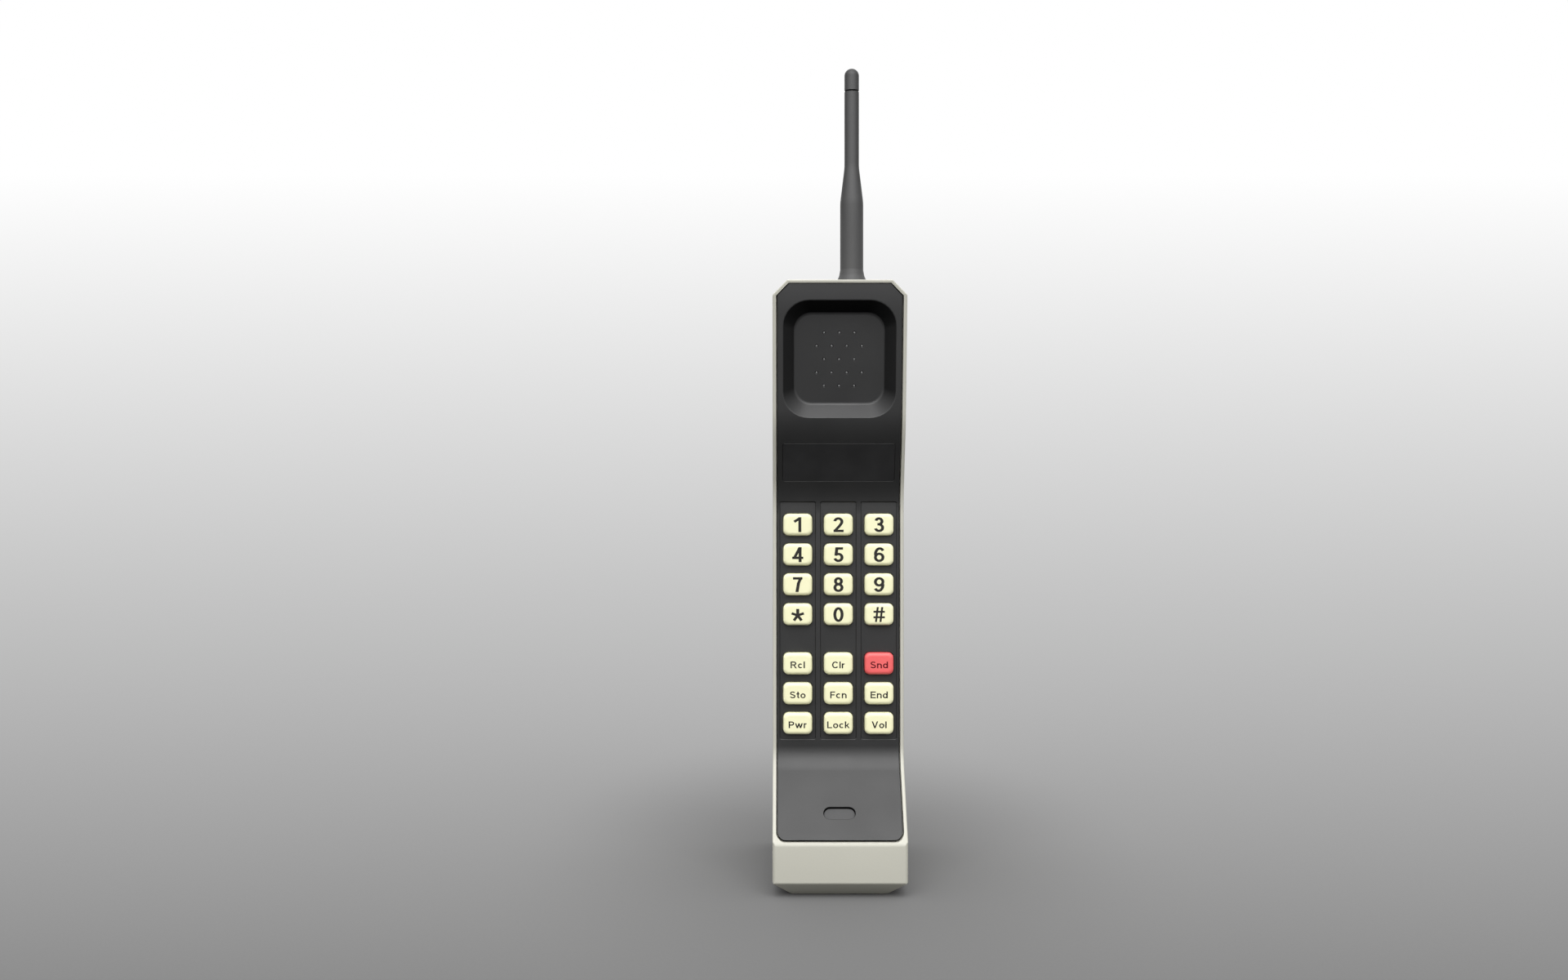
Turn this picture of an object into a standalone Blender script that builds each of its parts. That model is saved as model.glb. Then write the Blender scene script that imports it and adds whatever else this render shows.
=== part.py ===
"""Early mobile brick phone, as an assembly of separate pieces.

Frame: +X to the right of someone facing the keypad, +Y towards the back, +Z up. The origin is on the
ground, under the middle of the phone. Every length below is in millimetres and is scaled by MM.
"""

import math

import bmesh
import bpy
from mathutils import Matrix, Vector
from mathutils.geometry import interpolate_bezier

MM = 0.001
GAP = 0.3  # clearance between neighbouring pieces

# ---------------------------------------------------------------- driving dimensions
WIDTH = 44.5
HEIGHT = 203.0
DEPTH = 89.0
WALL = 2.0

HALF = WIDTH / 2
FRONT = -DEPTH / 2
BACK = DEPTH / 2
INNER = HALF - WALL  # half the width of the hollow

# The rim line: the side view of the front, as (y, z) from the top down.
TOP_FRONT = (FRONT + 2.8, HEIGHT)
EAR_FOOT = (FRONT + 11.1, 155.5)
KEYPAD_TOP = (FRONT + 21.4, 131.5)
KEYPAD_FOOT = (FRONT + 21.4, 42.3)
CHIN_FOOT = (FRONT, 17.6)
RIM_LINE = [TOP_FRONT, EAR_FOOT, KEYPAD_TOP, KEYPAD_FOOT, CHIN_FOOT]
RIM_BENDS = [0.0, 40.0, -30.0, -12.0, 0.0]  # fillet radii; a negative one is a hollow bend
BROW_BEND = 2.2  # where the chin's rim turns down into the front of the foot
ARC_STEPS = 5

TOP_CHAMFER = 4.85
FOOT_CHAMFER_OUT = 6.35
FOOT_CHAMFER_UP = 4.8

# The front panel lies inside the rim.
RIM_WALL = 1.15
PANEL_SUNK = 0.35
PANEL_THICK = 2.0
PANEL_HALF = HALF - RIM_WALL - 0.35
PANEL_TOP = HEIGHT - 1.3
PANEL_FOOT = 18.7
LEDGE_TOP = 21.6  # the top of the casing wall that carries the foot of the panel
PANEL_CORNER = 2.8

# Earpiece bowl
EAR_Z = 177.05
EAR_WIDE, EAR_TALL, EAR_CORNER = 37.7, 39.3, 8.8
EAR_FLOOR_WIDE, EAR_FLOOR_TALL, EAR_FLOOR_CORNER = 30.4, 30.2, 6.0
EAR_DEEP = 4.5
BOWL_WALL = 1.5
GRILLE_THICK = 0.5  # the bowl's floor in front of the mesh, which sits in a pocket
MESH_R = 13.0
EAR_HOLE_R = 0.45
EAR_HOLE_PITCH = 5.04
EAR_HOLE_RISE = 4.45
EAR_HOLE_DROP = 0.43  # the pattern sits a little below the middle of the bowl
EAR_HOLE_ROWS = (3, 4, 3, 4, 3)

# Display window
WINDOW_Z = 142.9
WINDOW_WIDE, WINDOW_TALL, WINDOW_THICK = 37.7, 13.7, 1.4
WINDOW_LEDGE = 1.2

# Keys: the first four rows are the dial, the last three are the functions.
KEY_NAMES = (
    ("key_1", "key_2", "key_3"),
    ("key_4", "key_5", "key_6"),
    ("key_7", "key_8", "key_9"),
    ("key_star", "key_0", "key_hash"),
    ("key_recall", "key_clear", "key_send"),
    ("key_store", "key_function", "key_end"),
    ("key_power", "key_lock", "key_volume"),
)
COLUMN_PITCH = 13.8
ROW_PITCH = 10.15
TOP_ROW_Z = 122.0
GROUP_STEP = 16.7  # from the last dial row to the first function row
DIAL_ROWS = 4
KEY_WIDE, KEY_TALL, KEY_CORNER = 9.8, 7.4, 1.4
KEY_PROUD = 2.0
KEY_PLAY = 0.25
KEY_TRAVEL = 1.2
KEY_FLANGE = 0.7
CHANNEL_WIDE, CHANNEL_TOP, CHANNEL_FOOT, CHANNEL_CORNER = 12.0, 129.9, 49.05, 1.3
CHANNEL_DEEP = 0.45
DOME_TALL = 1.4
BOARD_THICK = 1.6

# Microphone slot on the chin
MIC_Z = 26.7
MIC_WIDE, MIC_TALL = 10.6, 4.6

# Antenna, on the top, to the right of the middle
ANTENNA_X = 5.6
ANTENNA_Y = TOP_FRONT[0] + 45.0
WHIP_FOOT = 205.8
WHIP_FLARE_TOP = 210.7
WHIP_TAPER_FOOT = 235.8
WHIP_TAPER_TOP = 248.3
WHIP_END = 275.1
WHIP_TIP = 283.35
WHIP_FLARE_R, WHIP_THICK_R, WHIP_THIN_R = 5.8, 4.1, 2.58
SOCKET_TOP = HEIGHT + 1.3

# Back plate and battery pack
PLATE_FRONT, PLATE_BACK = 12.4, 14.5
PLINTH_TOP = 14.0
OPENING_FOOT = 16.0
SCREW_X, SCREW_LOW_Z, SCREW_HIGH_Z = 17.2, 22.0, 190.0
SCREW_HEAD_R, SCREW_R = 2.1, 1.05
RAIL_X, RAIL_LOW, RAIL_HIGH = 13.5, 30.0, 182.5
STEM_HALF, RAIL_HEAD_HALF = 1.2, 2.8
CONTACT_X = 7.4
PACK_FOOT, PACK_TOP = PLINTH_TOP + GAP, 185.5
PACK_FACE = PLATE_BACK + GAP
COVER_BACK = 19.0
PACK_CHAMFER = 6.0
CELL_R, CELL_LONG, CELL_Y = 9.7, 50.0, 30.7
LATCH_Z, LATCH_HALF_WIDE, LATCH_HALF_TALL = 190.5, 4.2, 2.9
LATCH_PROUD = 16.2


# ---------------------------------------------------------------- scene, materials and mesh helpers
def clear_scene():
    for old in list(bpy.data.objects):
        bpy.data.objects.remove(old)


def material(name, colour, roughness, metallic=0.0):
    made = bpy.data.materials.new(name)
    made.use_nodes = True
    shader = made.node_tree.nodes["Principled BSDF"]
    shader.inputs["Base Color"].default_value = (*colour, 1.0)
    shader.inputs["Roughness"].default_value = roughness
    shader.inputs["Metallic"].default_value = metallic
    return made


def mesh_from(name, points, faces):
    """A mesh in metres from points in millimetres, with its faces turned outwards."""
    built = bmesh.new()
    corners = [built.verts.new(Vector(p) * MM) for p in points]
    for face in faces:
        built.faces.new([corners[i] for i in face])
    bmesh.ops.recalc_face_normals(built, faces=built.faces)
    mesh = bpy.data.meshes.new(name)
    built.to_mesh(mesh)
    built.free()
    return mesh


def merged(shapes):
    """Several (points, faces) shapes as one."""
    points, faces = [], []
    for more_points, more_faces in shapes:
        start = len(points)
        points += more_points
        faces += [[i + start for i in face] for face in more_faces]
    return points, faces


def place(name, shape, look=None, parent=None, location=(0, 0, 0), round_parts=False):
    """An object from a (points, faces) shape. Without a look it is a helper, such as a cutter."""
    mesh = mesh_from(name, *shape)
    if round_parts:
        mesh.shade_smooth()
        mesh.set_sharp_from_angle(angle=math.radians(35))
    made = bpy.data.objects.new(name, mesh)
    bpy.context.scene.collection.objects.link(made)
    made.location = Vector(location) * MM
    if parent:
        made.parent = parent
    if look:
        mesh.materials.append(look)
    else:
        made.hide_render = True
        made.display_type = "WIRE"
    return made


def guide(name, location=(0, 0, 0), matrix=None):
    """An empty that others hang from."""
    made = bpy.data.objects.new(name, None)
    bpy.context.scene.collection.objects.link(made)
    if matrix:
        made.matrix_world = matrix
    else:
        made.location = Vector(location) * MM
    return made


def combine(target, operation, other):
    step = target.modifiers.new(f"{operation.lower()}_{other.name}", "BOOLEAN")
    step.operation = operation
    step.object = other
    step.solver = "EXACT"
    return target


# ---------------------------------------------------------------- shapes, as (points, faces)
def loft(loops, closed=False):
    """Skins a row of loops that have the same number of points, and caps the two ends."""
    count = len(loops[0])
    points = [p for loop in loops for p in loop]
    faces = []
    for k in range(len(loops) if closed else len(loops) - 1):
        here, there = k * count, ((k + 1) % len(loops)) * count
        for i in range(count):
            j = (i + 1) % count
            faces.append([here + i, here + j, there + j, there + i])
    if not closed:
        faces.append(list(range(count)))
        faces.append(list(range((len(loops) - 1) * count, len(loops) * count)))
    return points, faces


def along_x(outline, low, high):
    """A prism of a (y, z) outline."""
    return loft([[(x, y, z) for y, z in outline] for x in (low, high)])


def along_y(outline, low, high):
    """A prism of an (x, z) outline."""
    return loft([[(x, y, z) for x, z in outline] for y in (low, high)])


def along_z(outline, low, high):
    """A prism of an (x, y) outline."""
    return loft([[(x, y, z) for x, y in outline] for z in (low, high)])


def block(x_range, y_range, z_range):
    (x0, x1), (y0, y1) = x_range, y_range
    return along_z([(x0, y0), (x1, y0), (x1, y1), (x0, y1)], *z_range)


def turned(profile, sides=20, centre=(0, 0)):
    """Turns a closed (radius, z) profile about the vertical through centre."""
    cx, cy = centre
    points, rings = [], []
    for radius, z in profile:
        turns = 1 if radius < 1e-6 else sides
        rings.append(range(len(points), len(points) + turns))
        for k in range(turns):
            angle = 2 * math.pi * k / sides
            points.append((cx + radius * math.cos(angle), cy + radius * math.sin(angle), z))
    faces = []
    for here, there in zip(rings, rings[1:] + rings[:1]):
        for k in range(sides):
            n = (k + 1) % sides
            if len(here) > 1 and len(there) > 1:
                faces.append([here[k], here[n], there[n], there[k]])
            elif len(here) > 1:
                faces.append([here[k], here[n], there[0]])
            elif len(there) > 1:
                faces.append([here[0], there[n], there[k]])
    return points, faces


def swapped(shape, order):
    """The shape with its axes taken in another order: order "xzy" sends its z to y."""
    points, faces = shape
    picks = ["xyz".index(c) for c in order]
    return [tuple(p[i] for i in picks) for p in points], faces


def moved(shape, by):
    points, faces = shape
    return [tuple(a + b for a, b in zip(p, by)) for p in points], faces


def rod_y(radius, low, high, centre, sides=16):
    """A round bar along Y, through an (x, z) centre."""
    bar = swapped(turned([(0, low), (radius, low), (radius, high), (0, high)], sides), "xzy")
    return moved(bar, (centre[0], 0, centre[1]))


def rounded_rect(wide, tall, corner, steps=3):
    """The corner points of a rounded rectangle about the origin."""
    points = []
    for quarter, (sx, sy) in enumerate(((1, 1), (-1, 1), (-1, -1), (1, -1))):
        cx, cy = sx * (wide / 2 - corner), sy * (tall / 2 - corner)
        for k in range(steps + 1):
            angle = math.pi / 2 * (quarter + k / steps)
            points.append((cx + corner * math.cos(angle), cy + corner * math.sin(angle)))
    return points


def pads(levels, steps=3):
    """A stack of rounded rectangles, each (wide, tall, corner, height)."""
    return loft([[(x, y, h) for x, y in rounded_rect(w, t, c, steps)] for w, t, c, h in levels])


def tube(path, radius, sides=6):
    """A round wire along a list of points."""
    loops = []
    for k, here in enumerate(path):
        ahead = Vector(path[min(k + 1, len(path) - 1)]) - Vector(path[max(k - 1, 0)])
        across = ahead.cross(Vector((0, 0, 1)) if abs(ahead.normalized().z) < 0.9 else Vector((0, 1, 0)))
        across.normalize()
        other = ahead.normalized().cross(across)
        turns = [2 * math.pi * s / sides for s in range(sides)]
        loops.append(
            [tuple(Vector(here) + radius * (across * math.cos(a) + other * math.sin(a))) for a in turns]
        )
    return loft(loops)


def coil(radius, wire, low, high, turns, per_turn=10, sides=5):
    """A helical spring about Z."""
    path = []
    for k in range(turns * per_turn + 1):
        angle = 2 * math.pi * k / per_turn
        rise = low + (high - low) * k / (turns * per_turn)
        path.append((radius * math.cos(angle), radius * math.sin(angle), rise))
    return tube(path, wire, sides)


# ---------------------------------------------------------------- lines of the side view
def offset_line(points, inward):
    """The line moved inwards, with mitred bends. Its ends stay at their own heights."""
    normals = []
    for (y0, z0), (y1, z1) in zip(points, points[1:]):
        long = math.hypot(y1 - y0, z1 - z0)
        normals.append(((z0 - z1) / long, (y1 - y0) / long))
    out = []
    for k, (y, z) in enumerate(points):
        a, b = normals[max(k - 1, 0)], normals[min(k, len(normals) - 1)]
        share = inward / (1 + a[0] * b[0] + a[1] * b[1])
        out.append((y + (a[0] + b[0]) * share, z + (a[1] + b[1]) * share))
    return out


def bent(points, radii):
    """The line with an arc of the given radius at each inner point."""
    out = [points[0]]
    for k in range(1, len(points) - 1):
        if not radii[k]:
            out.append(points[k])
            continue
        before, here, after = (Vector(points[j]) for j in (k - 1, k, k + 1))
        into, on = (before - here).normalized(), (after - here).normalized()
        half = into.angle(on) / 2
        reach = abs(radii[k]) / math.tan(half)
        middle = here + (into + on).normalized() * abs(radii[k]) / math.sin(half)
        start, end = here + into * reach - middle, here + on * reach - middle
        for s in range(ARC_STEPS + 1):
            out.append(tuple(middle + start.slerp(end, s / ARC_STEPS) * abs(radii[k])))
    return [*out, points[-1]]


def front_line(inward, top_z, foot_z):
    """The rim line moved inwards and run on to two heights, from the top down."""
    line = offset_line(RIM_LINE, inward)
    (y0, z0), (y1, z1) = line[0], line[1]
    line[0] = (y0 + (y1 - y0) * (top_z - z0) / (z1 - z0), top_z)
    (y0, z0), (y1, z1) = line[-2], line[-1]
    line[-1] = (y0 + (y1 - y0) * (foot_z - z0) / (z1 - z0), foot_z)
    return bent(line, [r and r - inward for r in RIM_BENDS])


def silhouette(inward, top=HEIGHT, foot=0.0, corner=None):
    """The front view's (x, z) outline. A corner radius replaces the foot's chamfers."""
    half = HALF - inward
    cut = TOP_CHAMFER - inward * (2 - math.sqrt(2))
    lower = [(FOOT_CHAMFER_OUT + inward - HALF, foot), (-half, foot + FOOT_CHAMFER_UP)]
    if corner:
        turn = [math.pi / 2 * s / ARC_STEPS for s in range(ARC_STEPS + 1)]
        lower = [
            (corner - half - corner * math.sin(a), foot + corner - corner * math.cos(a)) for a in turn
        ]
    left = [*lower, (-half, top - cut), (cut - half, top)]
    return left + [(-x, z) for x, z in reversed(left)]


def on_line(low, high, z):
    """A frame on the straight stretch of rim line from low to high, its z axis pointing outwards."""
    share = (z - low[1]) / (high[1] - low[1])
    y = low[0] + (high[0] - low[0]) * share
    up = Vector((0, high[0] - low[0], high[1] - low[1])).normalized()
    side = Vector((1, 0, 0))
    axes = Matrix((side, up, side.cross(up))).transposed().to_4x4()
    return Matrix.Translation(Vector((0, y, z)) * MM) @ axes


def ear_holes():
    """The (x, y) centres of the earpiece holes, in the bowl's frame."""
    for row, count in enumerate(EAR_HOLE_ROWS):
        y = ((len(EAR_HOLE_ROWS) - 1) / 2 - row) * EAR_HOLE_RISE - EAR_HOLE_DROP
        for k in range(count):
            yield (k - (count - 1) / 2) * EAR_HOLE_PITCH, y


def key_places():
    """Each key's name and its (x, z) centre."""
    for row, names in enumerate(KEY_NAMES):
        z = TOP_ROW_Z - row * ROW_PITCH
        if row >= DIAL_ROWS:
            z += ROW_PITCH - GROUP_STEP
        for column, name in enumerate(names):
            yield name, (column - 1) * COLUMN_PITCH, z


# ---------------------------------------------------------------- the casing and what closes it
def make_casing(look):
    """The pale outer shell: sides, top, foot and plinth in one moulding, open at the front and back."""
    beyond = 20.0
    outer = [
        *bent([*RIM_LINE, (FRONT, FOOT_CHAMFER_UP)], [*RIM_BENDS[:-1], BROW_BEND, 0.0]),
        (FRONT + FOOT_CHAMFER_OUT, 0),
        (BACK - FOOT_CHAMFER_OUT, 0),
        (BACK, FOOT_CHAMFER_UP),
        (BACK, PLINTH_TOP),
        (PLATE_BACK, PLINTH_TOP),
        (PLATE_BACK, HEIGHT),
    ]
    casing = place("casing", along_x(outer, -HALF - 1, HALF + 1), look)
    combine(casing, "INTERSECT", place("casing_front_view", along_y(silhouette(0), -60, 60)))

    slope = 0.866  # the chin line's run for each millimetre of rise
    inside = [
        (FRONT - beyond, HEIGHT - WALL),
        (FRONT - beyond, LEDGE_TOP),
        (FRONT + 6.5, LEDGE_TOP),
        (FRONT + WALL + 0.1, LEDGE_TOP - (6.5 - WALL) / slope),
        (FRONT + WALL + 0.1, FOOT_CHAMFER_UP + 0.8),
        (FRONT + FOOT_CHAMFER_OUT + 0.9, WALL + 0.1),
        (BACK - FOOT_CHAMFER_OUT - 0.9, WALL + 0.1),
        (BACK - WALL - 0.2, FOOT_CHAMFER_UP + 0.8),
        (BACK - WALL - 0.2, PLINTH_TOP - WALL),
        (PLATE_FRONT, PLINTH_TOP - WALL),
        (PLATE_FRONT, OPENING_FOOT),
        (PLATE_BACK + beyond, OPENING_FOOT),
        (PLATE_BACK + beyond, HEIGHT - WALL),
    ]
    hollow = place("casing_hollow", along_x(inside, -INNER - 1, INNER + 1))
    hollow_view = along_y(silhouette(WALL, HEIGHT - WALL + 0.01, 0.8), -80, 60)
    combine(hollow, "INTERSECT", place("casing_hollow_view", hollow_view))
    combine(casing, "DIFFERENCE", hollow)

    seat_line = front_line(PANEL_SUNK + PANEL_THICK + GAP, HEIGHT + 5, 10.0)
    seat = place(
        "panel_seat",
        along_x([*seat_line, (FRONT - beyond, 10.0), (FRONT - beyond, HEIGHT + 5)], -HALF, HALF),
    )
    seat_view = along_y(silhouette(RIM_WALL, HEIGHT - 1.0, PANEL_FOOT - 0.6, 3.2), -80, 60)
    combine(seat, "INTERSECT", place("panel_seat_view", seat_view))
    combine(casing, "DIFFERENCE", seat)

    corners = [(s * SCREW_X, z) for s in (-1, 1) for z in (SCREW_LOW_Z, SCREW_HIGH_Z)]
    posts = merged([rod_y(3.6, 0.0, PLATE_FRONT - GAP, c, 12) for c in corners])
    combine(casing, "UNION", place("screw_posts", posts))
    holes = [rod_y(1.35, 1.5, PLATE_FRONT + 1, c, 10) for c in corners]
    holes.append(moved(turned([(0, 195), (4.8, 195), (4.8, 210), (0, 210)], 20), (ANTENNA_X, ANTENNA_Y, 0)))
    holes.append(along_y([(x, z + 8.4) for x, z in rounded_rect(14.0, 5.4, 1.2, 2)], 38, 60))
    combine(casing, "DIFFERENCE", place("casing_holes", merged(holes)))
    return casing


def make_front_panel(look, ear, window, chin):
    """The dark fascia with its earpiece bowl, window opening, key channels, key holes and slot."""
    face = front_line(PANEL_SUNK, HEIGHT + 4, 12.0)
    behind = front_line(PANEL_SUNK + PANEL_THICK, HEIGHT + 4, 12.0)
    panel = place("front_panel", along_x([*face, *reversed(behind)], -HALF, HALF), look)
    outline = silhouette(HALF - PANEL_HALF, PANEL_TOP, PANEL_FOOT, PANEL_CORNER)
    combine(panel, "INTERSECT", place("panel_front_view", along_y(outline, -80, 60)))

    floor = -PANEL_SUNK - EAR_DEEP
    grow = 2 * BOWL_WALL
    bowl = pads(
        [
            (EAR_FLOOR_WIDE + grow, EAR_FLOOR_TALL + grow, EAR_FLOOR_CORNER + BOWL_WALL, floor - BOWL_WALL),
            (EAR_WIDE + grow, EAR_TALL + grow - 1.2, EAR_CORNER + BOWL_WALL, -PANEL_SUNK - 1.0),
        ],
        5,
    )
    combine(panel, "UNION", place("ear_bowl", bowl, parent=ear))
    recess = pads(
        [
            (EAR_FLOOR_WIDE, EAR_FLOOR_TALL, EAR_FLOOR_CORNER, floor),
            (EAR_WIDE, EAR_TALL, EAR_CORNER, -PANEL_SUNK),
            (EAR_WIDE + 1, EAR_TALL + 1, EAR_CORNER + 0.5, 6.0),
        ],
        5,
    )
    combine(panel, "DIFFERENCE", place("ear_recess", recess, parent=ear))
    seat = floor - GRILLE_THICK
    pocket = [(0, seat - 6), (MESH_R + GAP, seat - 6), (MESH_R + GAP, seat), (0, seat)]
    combine(panel, "DIFFERENCE", place("mesh_pocket", turned(pocket, 24), parent=ear))
    drill = [(0, floor - 3), (EAR_HOLE_R, floor - 3), (EAR_HOLE_R, floor + 2), (0, floor + 2)]
    holes = merged([turned(drill, 8, c) for c in ear_holes()])
    combine(panel, "DIFFERENCE", place("ear_drills", holes, parent=ear))

    play = 2 * 0.2
    ledge = (WINDOW_WIDE - 2 * WINDOW_LEDGE, WINDOW_TALL - 2 * WINDOW_LEDGE, 0.8)
    mouth = (WINDOW_WIDE + play, WINDOW_TALL + play, 1.0)
    step = -PANEL_SUNK - WINDOW_THICK - 0.2
    opening = pads([(*ledge, -6.0), (*ledge, step), (*mouth, step), (*mouth, 3.0)], 2)
    combine(panel, "DIFFERENCE", place("window_opening", opening, parent=window))
    slot = pads([(MIC_WIDE, MIC_TALL, MIC_TALL / 2 - 0.01, h) for h in (-5.0, 3.0)], 4)
    combine(panel, "DIFFERENCE", place("slot_opening", slot, parent=chin))

    face_y = KEYPAD_TOP[0] + PANEL_SUNK
    middle, tall = (CHANNEL_TOP + CHANNEL_FOOT) / 2, CHANNEL_TOP - CHANNEL_FOOT
    channel = [(x, z + middle) for x, z in rounded_rect(CHANNEL_WIDE, tall, CHANNEL_CORNER, 2)]
    channels = merged(
        [
            moved(along_y(channel, face_y - 6, face_y + CHANNEL_DEEP), (column * COLUMN_PITCH, 0, 0))
            for column in (-1, 0, 1)
        ]
    )
    combine(panel, "DIFFERENCE", place("key_channels", channels))
    hole = rounded_rect(KEY_WIDE + 2 * KEY_PLAY, KEY_TALL + 2 * KEY_PLAY, KEY_CORNER + KEY_PLAY, 2)
    key_holes = merged(
        [along_y([(x + cx, z + cz) for x, z in hole], face_y - 8, face_y + 6) for _, cx, cz in key_places()]
    )
    combine(panel, "DIFFERENCE", place("key_holes", key_holes))
    return panel


def make_back_plate(look):
    """The dark plate that closes the back and carries the two T rails of the battery pack."""
    outline = silhouette(WALL + GAP, HEIGHT - WALL - GAP, OPENING_FOOT + GAP, 0.8)
    plate = place("back_plate", along_y(outline, PLATE_FRONT, PLATE_BACK), look)
    rails = []
    for side in (-1, 1):
        x = side * RAIL_X
        tee = [(-STEM_HALF, 13.5), (-STEM_HALF, 16.5), (-RAIL_HEAD_HALF, 16.5), (-RAIL_HEAD_HALF, 17.8)]
        tee = [(x + u, v) for u, v in tee] + [(x - u, v) for u, v in reversed(tee)]
        rails.append(along_z(tee, RAIL_LOW, RAIL_HIGH))
    combine(plate, "UNION", place("rails", merged(rails)))
    holes = []
    for side in (-1, 1):
        for z in (SCREW_LOW_Z, SCREW_HIGH_Z):
            profile = [(0, 10), (1.4, 10), (1.4, 13.0), (2.4, 13.0), (2.4, 16), (0, 16)]
            holes.append(moved(swapped(turned(profile, 16), "xzy"), (side * SCREW_X, 0, z)))
        holes.append(block((side * CONTACT_X - 1.7, side * CONTACT_X + 1.7), (10, 16), (19, 31)))
    holes.append(
        block(
            (-LATCH_HALF_WIDE - GAP, LATCH_HALF_WIDE + GAP),
            (10, 16),
            (LATCH_Z - LATCH_HALF_TALL - GAP, LATCH_Z + LATCH_HALF_TALL + GAP),
        )
    )
    combine(plate, "DIFFERENCE", place("plate_holes", merged(holes)))
    return plate


def make_screws(look):
    """Four slotted screws that hold the back plate to the casing's posts."""
    tip, neck, face = 3.0, 13.2, PLATE_BACK - 0.1
    profile = [(0, tip), (SCREW_R, tip), (SCREW_R, neck)]
    profile += [(SCREW_HEAD_R, neck), (SCREW_HEAD_R, face), (0, face)]
    body = swapped(turned(profile, 16), "xzy")
    for vertical, z in (("bottom", SCREW_LOW_Z), ("top", SCREW_HIGH_Z)):
        for side, x in (("left", -SCREW_X), ("right", SCREW_X)):
            screw = place(f"screw_{vertical}_{side}", body, look, location=(x, 0, z), round_parts=True)
            slot = place(f"slot_{vertical}_{side}", block((-3, 3), (13.8, 16), (-0.35, 0.35)), parent=screw)
            combine(screw, "DIFFERENCE", slot)


# ---------------------------------------------------------------- front: window, ear, mouth, keys
def make_display(lens, module_look, window):
    top = -PANEL_SUNK + 0.02
    edge = (WINDOW_WIDE, WINDOW_TALL, 0.8)
    eased = (WINDOW_WIDE - 0.4, WINDOW_TALL - 0.4, 0.7)
    pane = pads([(*edge, top - WINDOW_THICK), (*edge, top - 0.2), (*eased, top)], 2)
    place("display_window", pane, lens, window)
    back = -PANEL_SUNK - PANEL_THICK - GAP
    body = block((-17, 17), (-5.8, 5.8), (back - 4.6, back))
    module = place("display_module", body, module_look, window)
    wells = [block((x - 1.4, x + 1.4), (-2.6, 2.6), (back - 0.5, back + 1)) for x in range(-15, 16, 5)]
    combine(module, "DIFFERENCE", place("digit_wells", merged(wells), parent=window))


def make_earpiece(mesh_look, speaker_look, ear):
    back = -PANEL_SUNK - EAR_DEEP - GRILLE_THICK - 0.1
    disc = [(0, back - 0.4), (MESH_R, back - 0.4), (MESH_R, back), (0, back)]
    place("earpiece_mesh", turned(disc, 24), mesh_look, ear)
    front = -PANEL_SUNK - EAR_DEEP - BOWL_WALL - GAP
    magnet = [(0, front - 8), (9, front - 8), (9, front - 3)]
    basket = [(13.5, front - 3), (13.5, front), (11.5, front)]
    cone = [(11.5, front - 0.8), (4, front - 0.3), (0, front - 0.2)]
    place("earpiece_speaker", turned(magnet + basket + cone, 24), speaker_look, ear, round_parts=True)


def make_microphone(screen_look, boot_look, capsule_look, chin):
    sunk = -PANEL_SUNK - 0.9
    screen = pads([(MIC_WIDE - 0.3, MIC_TALL - 0.3, MIC_TALL / 2 - 0.2, h) for h in (sunk - 0.9, sunk)], 4)
    place("microphone_screen", screen, screen_look, chin)
    back = -PANEL_SUNK - PANEL_THICK - GAP
    foot, lip = back - 6, back - 0.8
    boot = [(5.2, foot), (5.9, foot), (5.9, back), (3.5, back), (3.5, lip), (5.2, lip)]
    place("microphone_boot", turned(boot, 20), boot_look, chin, round_parts=True)
    foot, top, port = back - 5.6, back - 1.1, back - 1.6
    capsule = [(0, foot), (4.8, foot), (4.8, top), (1, top), (1, port), (0, port)]
    place("microphone", turned(capsule, 20), capsule_look, chin, round_parts=True)


def make_keys(cream, red):
    """One moulded key cap for each key, all from the same mould. Each origin is on its line of travel."""
    face = KEYPAD_TOP[0] + PANEL_SUNK
    hidden = PANEL_THICK + GAP
    levels = [
        (KEY_WIDE + 2 * KEY_FLANGE, KEY_TALL + 2 * KEY_FLANGE, KEY_CORNER + 0.3, -hidden - 1.0),
        (KEY_WIDE + 2 * KEY_FLANGE, KEY_TALL + 2 * KEY_FLANGE, KEY_CORNER + 0.3, -hidden),
        (KEY_WIDE, KEY_TALL, KEY_CORNER, -hidden),
        (KEY_WIDE, KEY_TALL, KEY_CORNER, KEY_PROUD - 0.8),
        (KEY_WIDE - 0.9, KEY_TALL - 0.9, KEY_CORNER - 0.3, KEY_PROUD - 0.2),
        (KEY_WIDE - 3.2, KEY_TALL - 3.0, KEY_CORNER - 0.8, KEY_PROUD),
    ]
    points, faces = pads(levels, 2)
    cap = [(x, -h, y) for x, y, h in points], faces
    for name, x, z in key_places():
        place(name, cap, red if name == "key_send" else cream, location=(x, face, z))


def make_keypad(mat_look, board_look):
    """The rubber mat whose domes carry the keys, and the board of contacts under it."""
    dome_top = KEYPAD_TOP[0] + PANEL_SUNK + PANEL_THICK + GAP + 1.0 + 0.1
    mat_front = dome_top + DOME_TALL
    low, high = 47.5, 130.5
    half = 19.5
    mat = place("keypad_mat", block((-half, half), (mat_front, mat_front + 1), (low, high)), mat_look)
    root = mat_front + 0.5
    dome = swapped(turned([(0, root), (3, root), (2, dome_top), (0, dome_top)], 8), "xzy")
    domes = merged([moved(dome, (x, 0, z)) for _, x, z in key_places()])
    combine(mat, "UNION", place("mat_domes", domes))
    front = mat_front + 1 + GAP
    outline = [(-half, low), (half, low), (half, high), (-half, high)]
    place("keypad_board", along_y(outline, front, front + BOARD_THICK), board_look)


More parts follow.
